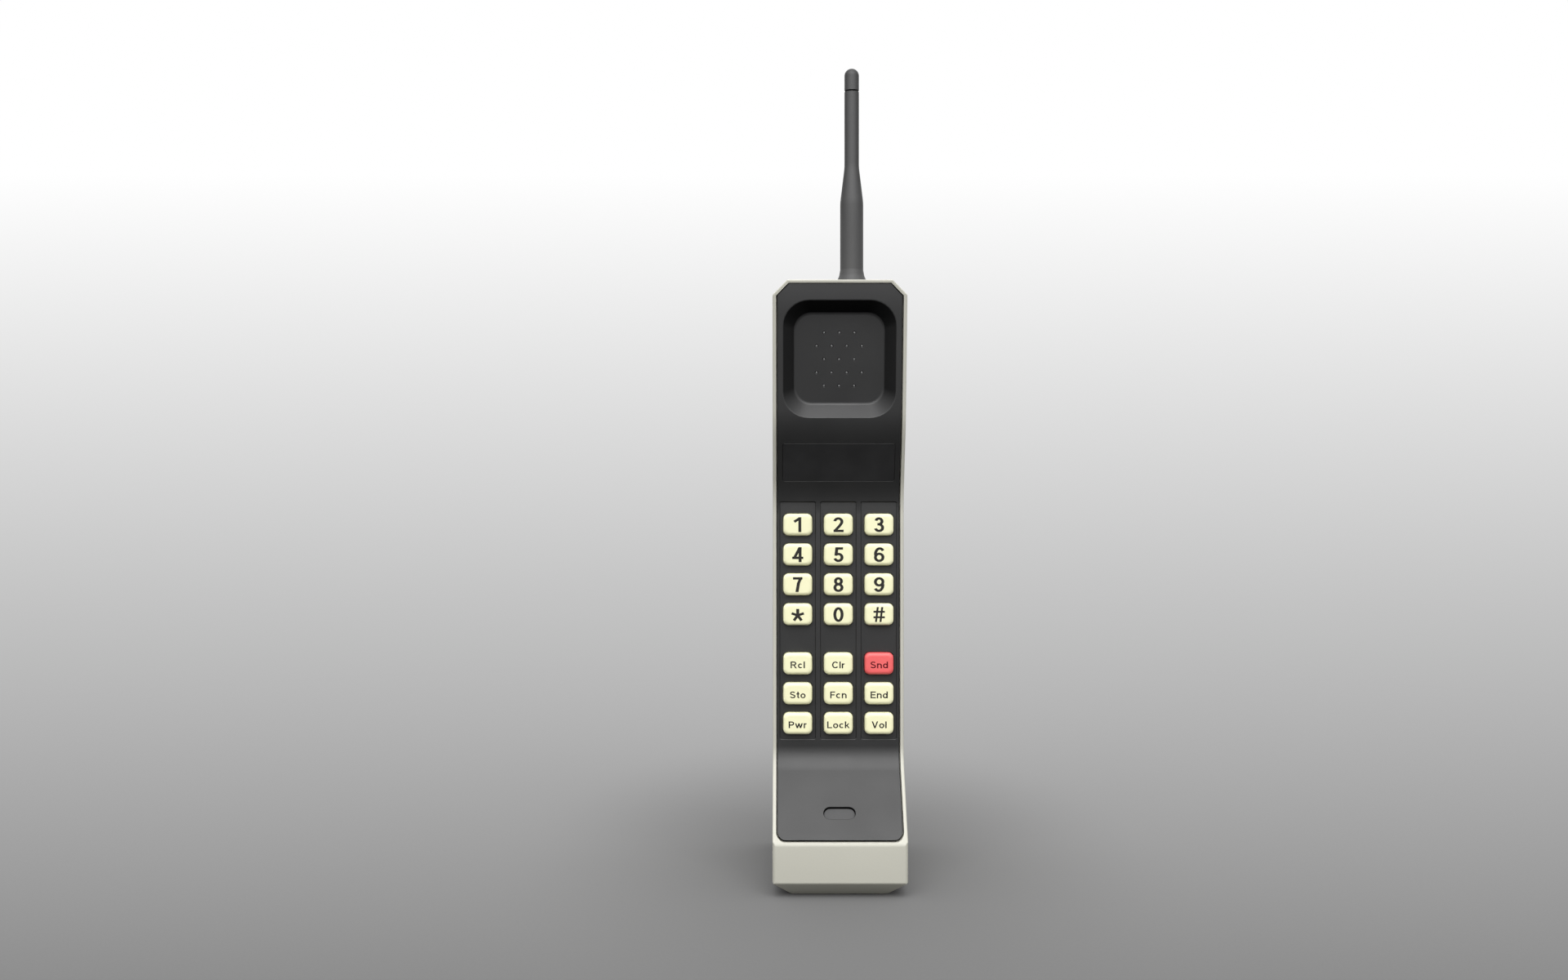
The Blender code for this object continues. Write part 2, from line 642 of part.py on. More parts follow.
# ---------------------------------------------------------------- inside the casing
def make_boards(board_look, can_look, filter_look, frame_look):
    plate = place("chassis_plate", block((-19, 19), (-3, -2), (30, 184)), frame_look)
    flanges = [block((s * 18.5 - 0.5, s * 18.5 + 0.5), (-7, -2.2), (34, 180)) for s in (-1, 1)]
    combine(plate, "UNION", place("chassis_flanges", merged(flanges)))
    windows = [rod_y(5, -5, 0, (0, z), 12) for z in (60, 95, 130, 165)]
    combine(plate, "DIFFERENCE", place("chassis_windows", merged(windows)))

    outline = [(-18.8, 30), (18.8, 30), (18.8, 182), (3.6, 182)]
    outline += [(3.6, 194.2), (-8, 194.2), (-8, 182), (-18.8, 182)]
    place("main_board", along_y(outline, 3.0, 3.0 + BOARD_THICK), board_look)

    shield = place("rf_shield", block((-17, 17), (4.9, 11.4), (96, 168)), can_look)
    inside = merged([block((-16.4, 16.4), (4, 10.8), bay) for bay in ((96.6, 131.4), (132, 167.4))])
    combine(shield, "DIFFERENCE", place("shield_bays", inside))
    body = place("duplexer", block((-16, 16), (4.9, 10.4), (50, 88)), filter_look)
    tuners = merged([rod_y(1.8, 9.5, 11.5, (x, 69), 10) for x in (-12, -4, 4, 12)])
    combine(body, "UNION", place("tuners", tuners))


def make_leads(ribbon_look, coax_look):
    """The flat ribbon between the two boards, and the coaxial lead to the antenna socket."""
    thick = 0.4
    line = [(-13.6, 60), (-13.6, 30), (-10, 26.5), (-1.5, 26.5), (2.3, 31), (2.3, 44)]
    far_side = [(y, z) for y, z in offset_line(line, thick)]
    place("ribbon_cable", along_x([*line, *reversed(far_side)], -8, 8), ribbon_look)

    start, end = Vector((12, 5.8, 172)), Vector((ANTENNA_X, ANTENNA_Y, 193.6))
    first_pull, last_pull = Vector((12, 7.0, 188)), Vector((ANTENNA_X, ANTENNA_Y, 184))
    path = interpolate_bezier(start, first_pull, last_pull, end, 13)
    place("coax_lead", tube(path, 0.8, 8), coax_look, round_parts=True)


def make_accessory_socket(look):
    """The accessory and charging socket in the back of the plinth."""
    body = block((-9, 9), (35, 41.8), (5.8, 11.4))
    socket = place("accessory_socket", body, look)
    nose = along_y([(x, z + 8.4) for x, z in rounded_rect(13.2, 4.8, 0.9, 2)], 41, 44.2)
    combine(socket, "UNION", place("socket_nose", nose))
    well = along_y([(x, z + 8.4) for x, z in rounded_rect(11.2, 3.2, 0.6, 2)], 38, 46)
    combine(socket, "DIFFERENCE", place("socket_well", well))
    combine(socket, "UNION", place("socket_tongue", block((-4.6, 4.6), (37, 42.8), (7.9, 8.9))))


# ---------------------------------------------------------------- antenna
def make_antenna(rubber, metal, copper):
    """A screw-in whip: everything here turns about the empty's axis except the socket and the washer."""
    axis = guide("antenna_axis", (ANTENNA_X, ANTENNA_Y, 0))
    top = SOCKET_TOP
    bore = [(3.2, top), (3.2, 196.5), (0, 196.5)]
    barrel = [(0, 194.6), (4.4, 194.6), (4.4, HEIGHT + 0.1)]
    collar = [(6.6, HEIGHT + 0.1), (6.6, top - 0.3), (6.3, top)]
    place("antenna_socket", turned(bore + barrel + collar, 20), metal, axis, round_parts=True)
    washer = [(3.5, top + 0.2), (6.0, top + 0.2), (6.0, top + 0.9), (3.5, top + 0.9)]
    place("antenna_washer", turned(washer, 20), rubber, axis, round_parts=True)
    seat = top + 1.1
    ferrule = [(0, 197.5), (2.4, 197.5), (2.85, 198), (2.85, seat), (5.2, seat), (5.2, seat + 1.6)]
    ferrule += [(2.3, seat + 1.6), (2.3, 221), (0, 221)]
    place("antenna_ferrule", turned(ferrule, 20), metal, axis, round_parts=True)

    bore, socket_r = 1.6, 2.5
    whip = [(5.5, WHIP_FOOT - 0.2), (WHIP_FLARE_R, WHIP_FOOT - 0.2), (WHIP_FLARE_R, WHIP_FOOT + 0.8)]
    whip += [(4.9, 208.4), (4.35, WHIP_FLARE_TOP - 0.6), (WHIP_THICK_R, WHIP_FLARE_TOP + 0.4)]
    whip += [(WHIP_THICK_R, WHIP_TAPER_FOOT), (WHIP_THIN_R, WHIP_TAPER_TOP), (WHIP_THIN_R, WHIP_END)]
    whip += [(bore, WHIP_END), (bore, 223), (socket_r, 222), (socket_r, seat + 1.9), (5.5, seat + 1.9)]
    place("antenna_sheath", turned(whip, 20), rubber, axis, round_parts=True)

    place("antenna_coil", coil(1.0, 0.3, 224, 266, 10, 8), copper, axis, round_parts=True)
    foot = WHIP_END + 0.4
    cap = [(0, 269), (1.2, 269), (1.2, foot), (WHIP_THIN_R, foot), (WHIP_THIN_R, WHIP_TIP - WHIP_THIN_R)]
    for s in range(1, 6):
        angle = math.pi / 2 * s / 5
        radius = WHIP_THIN_R * math.cos(angle) if s < 5 else 0
        cap.append((radius, WHIP_TIP - WHIP_THIN_R + WHIP_THIN_R * math.sin(angle)))
    place("antenna_tip_cap", turned(cap, 20), rubber, axis, round_parts=True)


# ---------------------------------------------------------------- latch and battery pack
def make_latch(look, steel):
    """A sprung button in the back plate, just above the pack, that is pressed in to free the pack."""
    wide = (-LATCH_HALF_WIDE, LATCH_HALF_WIDE)
    tall = (LATCH_Z - LATCH_HALF_TALL, LATCH_Z + LATCH_HALF_TALL)
    latch = place("battery_latch", block(wide, (11, LATCH_PROUD), tall), look)
    flange = block((-5.4, 5.4), (10.3, 12.1), (LATCH_Z - 3.7, LATCH_Z + 3.7))
    combine(latch, "UNION", place("latch_flange", flange))
    grooves = [block((-3.2, 3.2), (LATCH_PROUD - 0.4, 18), (z - 0.3, z + 0.3)) for z in (189, 190.5, 192)]
    combine(latch, "DIFFERENCE", place("latch_grooves", merged(grooves)))
    spring = swapped(coil(1.9, 0.3, 5.3, 9.7, 4), "xzy")
    place("latch_spring", spring, steel, location=(0, 0, LATCH_Z), round_parts=True)


def make_pack(case_look, cover_look, cell_look, gold):
    """The battery pack, which slides up off the rails: a tub, the cover facing the phone, and the cells."""
    pack = guide("pack_slide", (0, 0, PACK_FOOT))
    up = PACK_TOP - PACK_FOOT
    side = [(PACK_FACE, 0), (BACK - 1.5, 0), (BACK, 1.5), (BACK, up - PACK_CHAMFER)]
    side += [(BACK - PACK_CHAMFER, up), (PACK_FACE, up)]
    case = place("battery_case", along_x(side, -HALF, HALF), case_look, pack)
    lip, chamfer = COVER_BACK + GAP, PACK_CHAMFER + 1
    room = [(10, -5), (lip, -5), (lip, WALL), (BACK - WALL, WALL), (BACK - WALL, up - chamfer)]
    room += [(BACK - chamfer, up - WALL), (lip, up - WALL), (lip, up + 5), (10, up + 5)]
    combine(case, "DIFFERENCE", place("case_room", along_x(room, -INNER, INNER), parent=pack))
    grooves = [block((-15, 15), (BACK - 0.7, BACK + 2), (z, z + 1.4)) for z in range(134, 155, 4)]
    combine(case, "DIFFERENCE", place("grip_grooves", merged(grooves), parent=pack))

    lid = block((-INNER + GAP, INNER - GAP), (PACK_FACE, COVER_BACK), (0.1, up - 0.1))
    cover = place("battery_cover", lid, cover_look, pack)
    slots = []
    rail_room = RAIL_HIGH + 0.7 - PACK_FOOT
    for s in (-1, 1):
        x = s * RAIL_X
        tee = [(-1.6, 10), (-1.6, 16.2), (-3.2, 16.2), (-3.2, 18.1)]
        tee = [(x + u, v) for u, v in tee] + [(x - u, v) for u, v in reversed(tee)]
        slots.append(along_z(tee, -5, rail_room))
        slots.append(block((s * CONTACT_X - 1.8, s * CONTACT_X + 1.8), (10, 17.6), (-5, 20)))
    slots.append(block((-LATCH_HALF_WIDE - 0.5, LATCH_HALF_WIDE + 0.5), (10, 16.6), (-5, up + 5)))
    combine(cover, "DIFFERENCE", place("cover_slots", merged(slots), parent=pack))

    foot = 7
    profile = [(0, foot)]
    for cell in range(3):
        base = foot + cell * (CELL_LONG + 1)
        shoulder = base + CELL_LONG
        profile += [(CELL_R - 0.4, base), (CELL_R, base + 0.4), (CELL_R, shoulder - 1)]
        profile += [(CELL_R - 0.7, shoulder - 0.3), (3, shoulder - 0.3), (3, shoulder + 1)]
    profile.append((0, foot + 3 * (CELL_LONG + 1)))
    for name, s in (("left", -1), ("right", 1)):
        spot = (s * (CELL_R + 0.25), CELL_Y, 0)
        place(f"cell_stick_{name}", turned(profile, 20), cell_look, pack, spot, round_parts=True)
    for name, s in (("positive", 1), ("negative", -1)):
        pad = block((s * CONTACT_X - 1.5, s * CONTACT_X + 1.5), (17.0, 17.4), (4, 18))
        place(f"contact_pad_{name}", pad, gold, pack)


def make_contact_springs(gold):
    """Bent leaf contacts on the phone side, which press on the pack's pads."""
    thick = 0.35
    line = [(11.6, 38), (11.6, 31), (16.3, 25.5), (15.6, 22.5), (13.6, 20.6)]
    bend = offset_line(line, thick)
    for name, s in (("positive", 1), ("negative", -1)):
        strip = along_x([*line, *reversed(bend)], s * CONTACT_X - 1.2, s * CONTACT_X + 1.2)
        place(f"contact_spring_{name}", strip, gold)


# ---------------------------------------------------------------- assembly
clear_scene()

shell_grey = material("casing", (0.66, 0.65, 0.59), 0.5)
fascia = material("fascia", (0.05, 0.05, 0.052), 0.55)
smoked = material("window", (0.015, 0.015, 0.017), 0.15)
key_cream = material("key_cream", (0.93, 0.91, 0.66), 0.4)
key_red = material("key_red", (0.88, 0.13, 0.13), 0.4)
black_rubber = material("rubber", (0.06, 0.06, 0.062), 0.75)
screen_cloth = material("screen_cloth", (0.12, 0.12, 0.12), 0.9)
circuit = material("circuit_board", (0.05, 0.22, 0.1), 0.5)
tin = material("tin", (0.7, 0.7, 0.68), 0.35, 1.0)
steel_look = material("steel", (0.55, 0.55, 0.56), 0.3, 1.0)
brass_look = material("brass", (0.75, 0.6, 0.3), 0.3, 1.0)
copper_look = material("copper", (0.8, 0.42, 0.25), 0.35, 1.0)
cell_wrap = material("cell_wrap", (0.1, 0.25, 0.5), 0.4)
ribbon_grey = material("ribbon", (0.6, 0.6, 0.62), 0.6)
mat_grey = material("keypad_mat", (0.35, 0.35, 0.36), 0.8)

ear_frame = guide("ear_frame", matrix=on_line(EAR_FOOT, TOP_FRONT, EAR_Z))
window_frame = guide("window_frame", matrix=on_line(KEYPAD_TOP, EAR_FOOT, WINDOW_Z))
chin_frame = guide("chin_frame", matrix=on_line(CHIN_FOOT, KEYPAD_FOOT, MIC_Z))

make_casing(shell_grey)
make_front_panel(fascia, ear_frame, window_frame, chin_frame)
make_back_plate(fascia)
make_screws(steel_look)
make_display(smoked, circuit, window_frame)
make_earpiece(screen_cloth, steel_look, ear_frame)
make_microphone(screen_cloth, black_rubber, tin, chin_frame)
make_keys(key_cream, key_red)
make_keypad(mat_grey, circuit)
make_boards(circuit, tin, brass_look, steel_look)
make_leads(ribbon_grey, black_rubber)
make_accessory_socket(fascia)
make_antenna(black_rubber, brass_look, copper_look)
make_latch(fascia, steel_look)
make_pack(shell_grey, fascia, cell_wrap, brass_look)
make_contact_springs(brass_look)
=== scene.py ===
"""The looks of the early mobile brick phone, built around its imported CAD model.

Frame: +X to the right of someone facing the keypad, +Y towards the back, +Z up, as in the model.
Lengths are in millimetres and are scaled by MM where a mesh is made.
"""

import math

import bmesh
import bpy
from mathutils import Matrix, Vector


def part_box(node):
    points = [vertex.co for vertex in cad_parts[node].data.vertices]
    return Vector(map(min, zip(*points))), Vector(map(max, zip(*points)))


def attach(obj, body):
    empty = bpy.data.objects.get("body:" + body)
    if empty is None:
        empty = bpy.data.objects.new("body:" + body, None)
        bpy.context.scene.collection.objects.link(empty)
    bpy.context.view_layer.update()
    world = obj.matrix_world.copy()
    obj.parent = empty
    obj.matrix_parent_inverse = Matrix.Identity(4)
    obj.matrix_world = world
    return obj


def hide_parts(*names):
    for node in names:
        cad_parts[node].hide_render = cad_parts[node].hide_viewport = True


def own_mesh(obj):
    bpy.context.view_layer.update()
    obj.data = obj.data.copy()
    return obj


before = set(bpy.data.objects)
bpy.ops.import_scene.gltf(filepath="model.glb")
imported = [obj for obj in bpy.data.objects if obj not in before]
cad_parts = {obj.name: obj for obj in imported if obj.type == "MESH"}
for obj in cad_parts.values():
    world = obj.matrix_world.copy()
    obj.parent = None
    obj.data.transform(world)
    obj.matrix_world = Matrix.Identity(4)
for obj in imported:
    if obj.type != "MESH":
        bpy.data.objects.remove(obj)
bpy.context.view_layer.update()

MM = 0.001


def box(node):
    """A node's lowest and highest corners, in millimetres."""
    return tuple(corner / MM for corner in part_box(node))


def middle(node):
    low, high = box(node)
    return (low + high) / 2


# ---- sizes, taken from the frame
casing_low, casing_high = box("casing")
HALF, HEIGHT = casing_high.x, casing_high.z
FRONT, BACK = casing_low.y, casing_high.y
WALL = 2.0
GAP = 0.3
CLEAR = 0.01  # how far a cutter runs past the face that it opens
INNER = HALF - WALL

# The rim line: the side view of the front, as (y, z) from the top down.
TOP_FRONT = (FRONT + 2.8, HEIGHT)
EAR_FOOT = (FRONT + 11.1, HEIGHT - 47.5)
KEYPAD_TOP = (FRONT + 21.4, HEIGHT - 71.5)
KEYPAD_FOOT = (FRONT + 21.4, 42.3)
CHIN_FOOT = (FRONT, 17.6)
RIM_LINE = [TOP_FRONT, EAR_FOOT, KEYPAD_TOP, KEYPAD_FOOT, CHIN_FOOT]
RIM_BENDS = [0.0, 40.0, -30.0, -12.0, 0.0]  # fillet radii; a negative one is a hollow bend
BROW_BEND = 2.2
ARC_STEPS = 12

TOP_CHAMFER = 4.85
FOOT_CHAMFER_OUT, FOOT_CHAMFER_UP = 6.35, 4.8
SHELL_EASE, BASE_EASE = 0.42, 1.5  # the rounding of the shell's edges, and of the base's front corners
RIM_WALL = 1.15
PANEL_SUNK, PANEL_THICK = 0.35, 2.0
panel_low, panel_high = box("front_panel")
PANEL_HALF, PANEL_TOP, PANEL_FOOT, PANEL_CORNER = panel_high.x, panel_high.z, panel_low.z, 2.8
LEDGE_TOP, LEDGE_DEEP, LEDGE_SLOPE = 21.6, 6.5, 0.866  # the ledge behind the panel's foot
SEAT_CORNER = 3.2

EAR_WIDE, EAR_TALL, EAR_CORNER, EAR_DEEP = 37.7, 39.3, 8.8, 4.5
EAR_IN_X, EAR_IN_Y = 3.95, 4.45  # how far the bowl's wall runs in at the sides, and above and below
EAR_FLOOR_DROP = 0.25  # how far the bowl's floor sits below the middle of its mouth
BOWL_LIP, BOWL_FILLET = 0.55, 1.2
BOWL_WALL, BOWL_TRIM = 1.5, 1.2  # its wall, and how much less of it there is above and below
EAR_HOLE_R, EAR_HOLE_PITCH, EAR_HOLE_RISE, EAR_HOLE_DROP = 0.45, 5.04, 4.45, 0.43
EAR_HOLE_ROWS = (3, 4, 3, 4, 3)
MESH_R, MESH_SUNK = 13.0, 0.6  # the mesh behind the bowl, and how far it lies below the bowl's floor
WINDOW_WIDE, WINDOW_TALL, WINDOW_THICK, WINDOW_LEDGE = 37.7, 13.7, 1.4, 1.2
LENS_CORNER, LENS_EASE, LENS_PLAY = 0.8, 0.08, 0.14
KEY_FLANGE, KEY_CORNER, KEY_PROUD, KEY_PLAY = 0.7, 1.8, 2.0, 0.25
ROLL_IN, ROLL_DOWN = 1.2, 1.0  # the roll-over of a key's edges
key_low, key_high = box("key_5")
KEY_WIDE = key_high.x - key_low.x - 2 * KEY_FLANGE
KEY_TALL = key_high.z - key_low.z - 2 * KEY_FLANGE
CHANNEL_WIDE, CHANNEL_TOP, CHANNEL_FOOT = 12.0, 129.65, 49.05
CHANNEL_CORNER, CHANNEL_DEEP, CHANNEL_LIP = 0.5, 0.45, 0.28
MIC_WIDE, MIC_TALL = 10.6, 4.6
MAT_SHEET, DOME_FOOT = 1.0, 0.02  # the mat's sheet, and the domes' height above it


PLATE_FRONT, PLATE_BACK = 12.4, 14.5
PLINTH_TOP, OPENING_FOOT = 14.0, 16.0
POST_R, PILOT_R, WHIP_HOLE_R = 3.6, 1.35, 4.8
OUTLET = (14.0, 5.4, 1.2)  # the accessory socket's opening: its width, height and corner

KEYS = {f"key_{digit}": str(digit) for digit in (*range(1, 10), 0)}
KEYS |= {"key_star": "*", "key_hash": "#", "key_recall": "Rcl", "key_clear": "Clr", "key_send": "Snd"}
KEYS |= {"key_store": "Sto", "key_function": "Fcn", "key_end": "End"}
KEYS |= {"key_power": "Pwr", "key_lock": "Lock", "key_volume": "Vol"}


# ---- shapes, as (points, faces)
def loft(loops, closed=False):
    """Skins a row of loops that have the same number of points, and caps the two ends."""
    count = len(loops[0])
    points = [p for loop in loops for p in loop]
    faces = []
    for k in range(len(loops) if closed else len(loops) - 1):
        here, there = k * count, ((k + 1) % len(loops)) * count
        for i in range(count):
            j = (i + 1) % count
            faces.append([here + i, here + j, there + j, there + i])
    if not closed:
        faces.append(list(range(count)))
        faces.append(list(range((len(loops) - 1) * count, len(loops) * count)))
    return points, faces


def merged(shapes):
    points, faces = [], []
    for more_points, more_faces in shapes:
        start = len(points)
        points += more_points
        faces += [[i + start for i in face] for face in more_faces]
    return points, faces


def moved(shape, by):
    points, faces = shape
    return [tuple(a + b for a, b in zip(p, by)) for p in points], faces


def along_x(outline, low, high):
    return loft([[(x, y, z) for y, z in outline] for x in (low, high)])


def along_y(outline, low, high):
    return loft([[(x, y, z) for x, z in outline] for y in (low, high)])


def along_z(outline, low, high):
    return loft([[(x, y, z) for x, y in outline] for z in (low, high)])


def block(x_range, y_range, z_range):
    (x0, x1), (y0, y1) = x_range, y_range
    return along_z([(x0, y0), (x1, y0), (x1, y1), (x0, y1)], *z_range)


def turned(profile, sides=64, centre=(0, 0)):
    """Turns a closed (radius, z) profile about the vertical through centre."""
    cx, cy = centre
    points, rings = [], []
    for radius, z in profile:
        turns = 1 if radius < 1e-6 else sides
        rings.append(range(len(points), len(points) + turns))
        for k in range(turns):
            angle = 2 * math.pi * k / sides
            points.append((cx + radius * math.cos(angle), cy + radius * math.sin(angle), z))
    faces = []
    for here, there in zip(rings, rings[1:] + rings[:1]):
        for k in range(sides):
            n = (k + 1) % sides
            if len(here) > 1 and len(there) > 1:
                faces.append([here[k], here[n], there[n], there[k]])
            elif len(here) > 1:
                faces.append([here[k], here[n], there[0]])
            elif len(there) > 1:
                faces.append([here[0], there[n], there[k]])
    return points, faces


def cylinder(radius, low, high):
    """The profile of a solid cylinder, for turned()."""
    return [(0, low), (radius, low), (radius, high), (0, high)]


def rod_y(radius, low, high, centre):
    """A round bar along Y, through an (x, z) centre."""
    points, faces = turned(cylinder(radius, low, high), 24)
    return [(x + centre[0], z, y + centre[1]) for x, y, z in points], faces


def rounded_rect(wide, tall, corner, steps=8):
    points = []
    for turn, (sx, sy) in enumerate(((1, 1), (-1, 1), (-1, -1), (1, -1))):
        cx, cy = sx * (wide / 2 - corner), sy * (tall / 2 - corner)
        for k in range(steps + 1):
            angle = math.pi / 2 * (turn + k / steps)
            points.append((cx + corner * math.cos(angle), cy + corner * math.sin(angle)))
    return points


def quarter(steps):
    """How far in, and how far down from its crown, each point of a quarter round is, from its foot up."""
    for k in range(steps + 1):
        angle = math.pi / 2 * k / steps
        yield 1 - math.cos(angle), 1 - math.sin(angle)


def pads(levels, steps=8):
    """A stack of rounded rectangles, each (wide, tall, corner, height)."""
    return loft([[(x, y, h) for x, y in rounded_rect(w, t, c, steps)] for w, t, c, h in levels])


def flared(wide, tall, corner, foot, top, lip):
    """A cutter for a straight hole whose mouth, at height top, is rounded over by lip."""
    levels = [(wide, tall, corner, foot)]
    for across, down in quarter(6):
        out = lip * across
        levels.append((wide + 2 * out, tall + 2 * out, corner + out, top - lip * down))
    spare = 2 * (lip + CLEAR)
    mouth = (wide + spare, tall + spare, corner + spare / 2)
    levels[-1:] = [(*mouth, top + CLEAR), (*mouth, top + 4)]
    return pads(levels)


# ---- lines of the side and front views
def offset_line(points, inward):
    """A line moved sideways by inward, its corners mitred."""
    normals = []
    for (y0, z0), (y1, z1) in zip(points, points[1:]):
        long = math.hypot(y1 - y0, z1 - z0)
        normals.append(((z0 - z1) / long, (y1 - y0) / long))
    out = []
    for k, (y, z) in enumerate(points):
        a, b = normals[max(k - 1, 0)], normals[min(k, len(normals) - 1)]
        share = inward / (1 + a[0] * b[0] + a[1] * b[1])
        out.append((y + (a[0] + b[0]) * share, z + (a[1] + b[1]) * share))
    return out


def bent(points, radii, steps=ARC_STEPS):
    """The line with an arc of the given radius at each inner point."""
    out = [tuple(points[0])]
    for k in range(1, len(points) - 1):
        if not radii[k]:
            out.append(tuple(points[k]))
            continue
        before, here, after = (Vector(points[j]) for j in (k - 1, k, k + 1))
        into, on = (before - here).normalized(), (after - here).normalized()
        half = into.angle(on) / 2
        reach = abs(radii[k]) / math.tan(half)
        centre = here + (into + on).normalized() * abs(radii[k]) / math.sin(half)
        start, end = here + into * reach - centre, here + on * reach - centre
        for s in range(steps + 1):
            out.append(tuple(centre + start.slerp(end, s / steps) * abs(radii[k])))
    return [*out, tuple(points[-1])]


def front_line(inward, top_z, foot_z):
    """The rim line moved inwards and run on to two heights, from the top down."""
    line = offset_line(RIM_LINE, inward)
    (y0, z0), (y1, z1) = line[0], line[1]
    line[0] = (y0 + (y1 - y0) * (top_z - z0) / (z1 - z0), top_z)
    (y0, z0), (y1, z1) = line[-2], line[-1]
    line[-1] = (y0 + (y1 - y0) * (foot_z - z0) / (z1 - z0), foot_z)
    return bent(line, [r and r - inward for r in RIM_BENDS])


def silhouette(inward, top=HEIGHT, foot=0.0, corner=None):
    """The front view's (x, z) outline. A corner radius replaces the foot's chamfers."""
    half = HALF - inward
    cut = TOP_CHAMFER - inward * (2 - math.sqrt(2))
    lower = [(FOOT_CHAMFER_OUT + inward - HALF, foot), (-half, foot + FOOT_CHAMFER_UP)]
    if corner:
        turn = [math.pi / 2 * s / ARC_STEPS for s in range(ARC_STEPS + 1)]
        lower = [
            (corner - half - corner * math.sin(a), foot + corner - corner * math.cos(a)) for a in turn
        ]
    left = [*lower, (-half, top - cut), (cut - half, top)]
    return left + [(-x, z) for x, z in reversed(left)]


def on_line(low, high, near):
    """A frame on the rim line from low to high, abreast of a point, its z axis pointing outwards."""
    start, along = Vector((0, *low)), Vector((0, high[0] - low[0], high[1] - low[1])).normalized()
    spot = start + along * (Vector((0, near.y, near.z)) - start).dot(along)
    side = Vector((1, 0, 0))
    axes = Matrix((side, along, side.cross(along))).transposed().to_4x4()
    return Matrix.Translation(spot) @ axes


ear_frame = on_line(EAR_FOOT, TOP_FRONT, middle("earpiece_mesh"))
window_frame = on_line(KEYPAD_TOP, EAR_FOOT, middle("display_window"))
chin_frame = on_line(CHIN_FOOT, KEYPAD_FOOT, middle("microphone_screen"))


# ---- meshes and objects
def place(name, shape, where=None):
    points, faces = shape
    built = bmesh.new()
    built.faces.layers.float.new("edge")
    corners = [built.verts.new((where @ Vector(p) if where else Vector(p)) * MM) for p in points]
    for face in faces:
        built.faces.new([corners[i] for i in face])
    bmesh.ops.recalc_face_normals(built, faces=built.faces)
    mesh = bpy.data.meshes.new(name)
    built.to_mesh(mesh)
    built.free()
    return add_object(name, mesh)


def add_object(name, data):
    made = bpy.data.objects.new(name, data)
    bpy.context.scene.collection.objects.link(made)
    return made


def applied(target):
    """Puts the result of the target's modifiers in place of its mesh."""
    graph = bpy.context.evaluated_depsgraph_get()
    graph.update()
    old = target.data
    mesh = bpy.data.meshes.new_from_object(target.evaluated_get(graph))
    target.modifiers.clear()
    target.data = mesh
    bpy.data.meshes.remove(old)
    return mesh


def cut(target, operation, other, where=None, own_overlaps=False):
    """Joins, cuts or clips target with another object or shape, which is used up."""
    if isinstance(other, tuple):
        other = place("helper", other, where)
    step = target.modifiers.new("cut", "BOOLEAN")
    step.operation = operation
    step.object = other
    step.solver = "EXACT"
    step.use_self = own_overlaps
    mesh = applied(target)
    bpy.data.objects.remove(other)
    built = bmesh.new()
    built.from_mesh(mesh)
    bmesh.ops.remove_doubles(built, verts=built.verts, dist=0.0004 * MM)
    bmesh.ops.dissolve_degenerate(built, edges=built.edges, dist=0.0004 * MM)
    built.to_mesh(mesh)
    built.free()


def carve(target, other, where=None):
    cut(target, "DIFFERENCE", other, where)


def ease(target, width, segments, share):
    """Rounds each edge by width times share(its middle, its angle in degrees, positive outwards)."""
    built = bmesh.new()
    built.from_mesh(target.data)
    weights = built.edges.layers.float.new("bevel_weight_edge")
    for edge in built.edges:
        if len(edge.link_faces) == 2:
            spot = (edge.verts[0].co + edge.verts[1].co) / 2 / MM
            edge[weights] = share(spot, math.degrees(edge.calc_face_angle_signed()))
    built.to_mesh(target.data)
    built.free()
    for _ in range(2):
        target.data.materials.append(None)
    step = target.modifiers.new("ease", "BEVEL")
    step.limit_method = "WEIGHT"
    step.width = width * MM
    step.segments = segments
    step.material = 1
    mesh = applied(target)
    marks = mesh.attributes.get("edge") or mesh.attributes.new("edge", "FLOAT", "FACE")
    for face in mesh.polygons:
        marks.data[face.index].value = float(face.material_index)
        face.material_index = 0
    mesh.attributes.remove(mesh.attributes["bevel_weight_edge"])
    mesh.materials.clear()


def corners_over(least):
    return lambda spot, angle: float(angle > least)


SHARP_FROM = 38.0  # the angle in degrees from which an edge is shaded as a sharp one


def dress(piece, look, slot, body, *nodes):
    """Shades a finished piece, gives it its material, and hangs it on its body in place of its nodes."""
    mesh = piece.data
    mesh.materials.clear()
    mesh.materials.append(look)
    mesh.shade_smooth()
    mesh.set_sharp_from_angle(angle=math.radians(SHARP_FROM))
    fair = piece.modifiers.new("fair", "WEIGHTED_NORMAL")
    fair.keep_sharp = True
    fair.weight = 80
    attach(piece, body)
    if nodes:
        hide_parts(*nodes)


# ---- materials
NOISE_RANGE = (0.3, 0.7)  # where nearly all of a noise's values lie


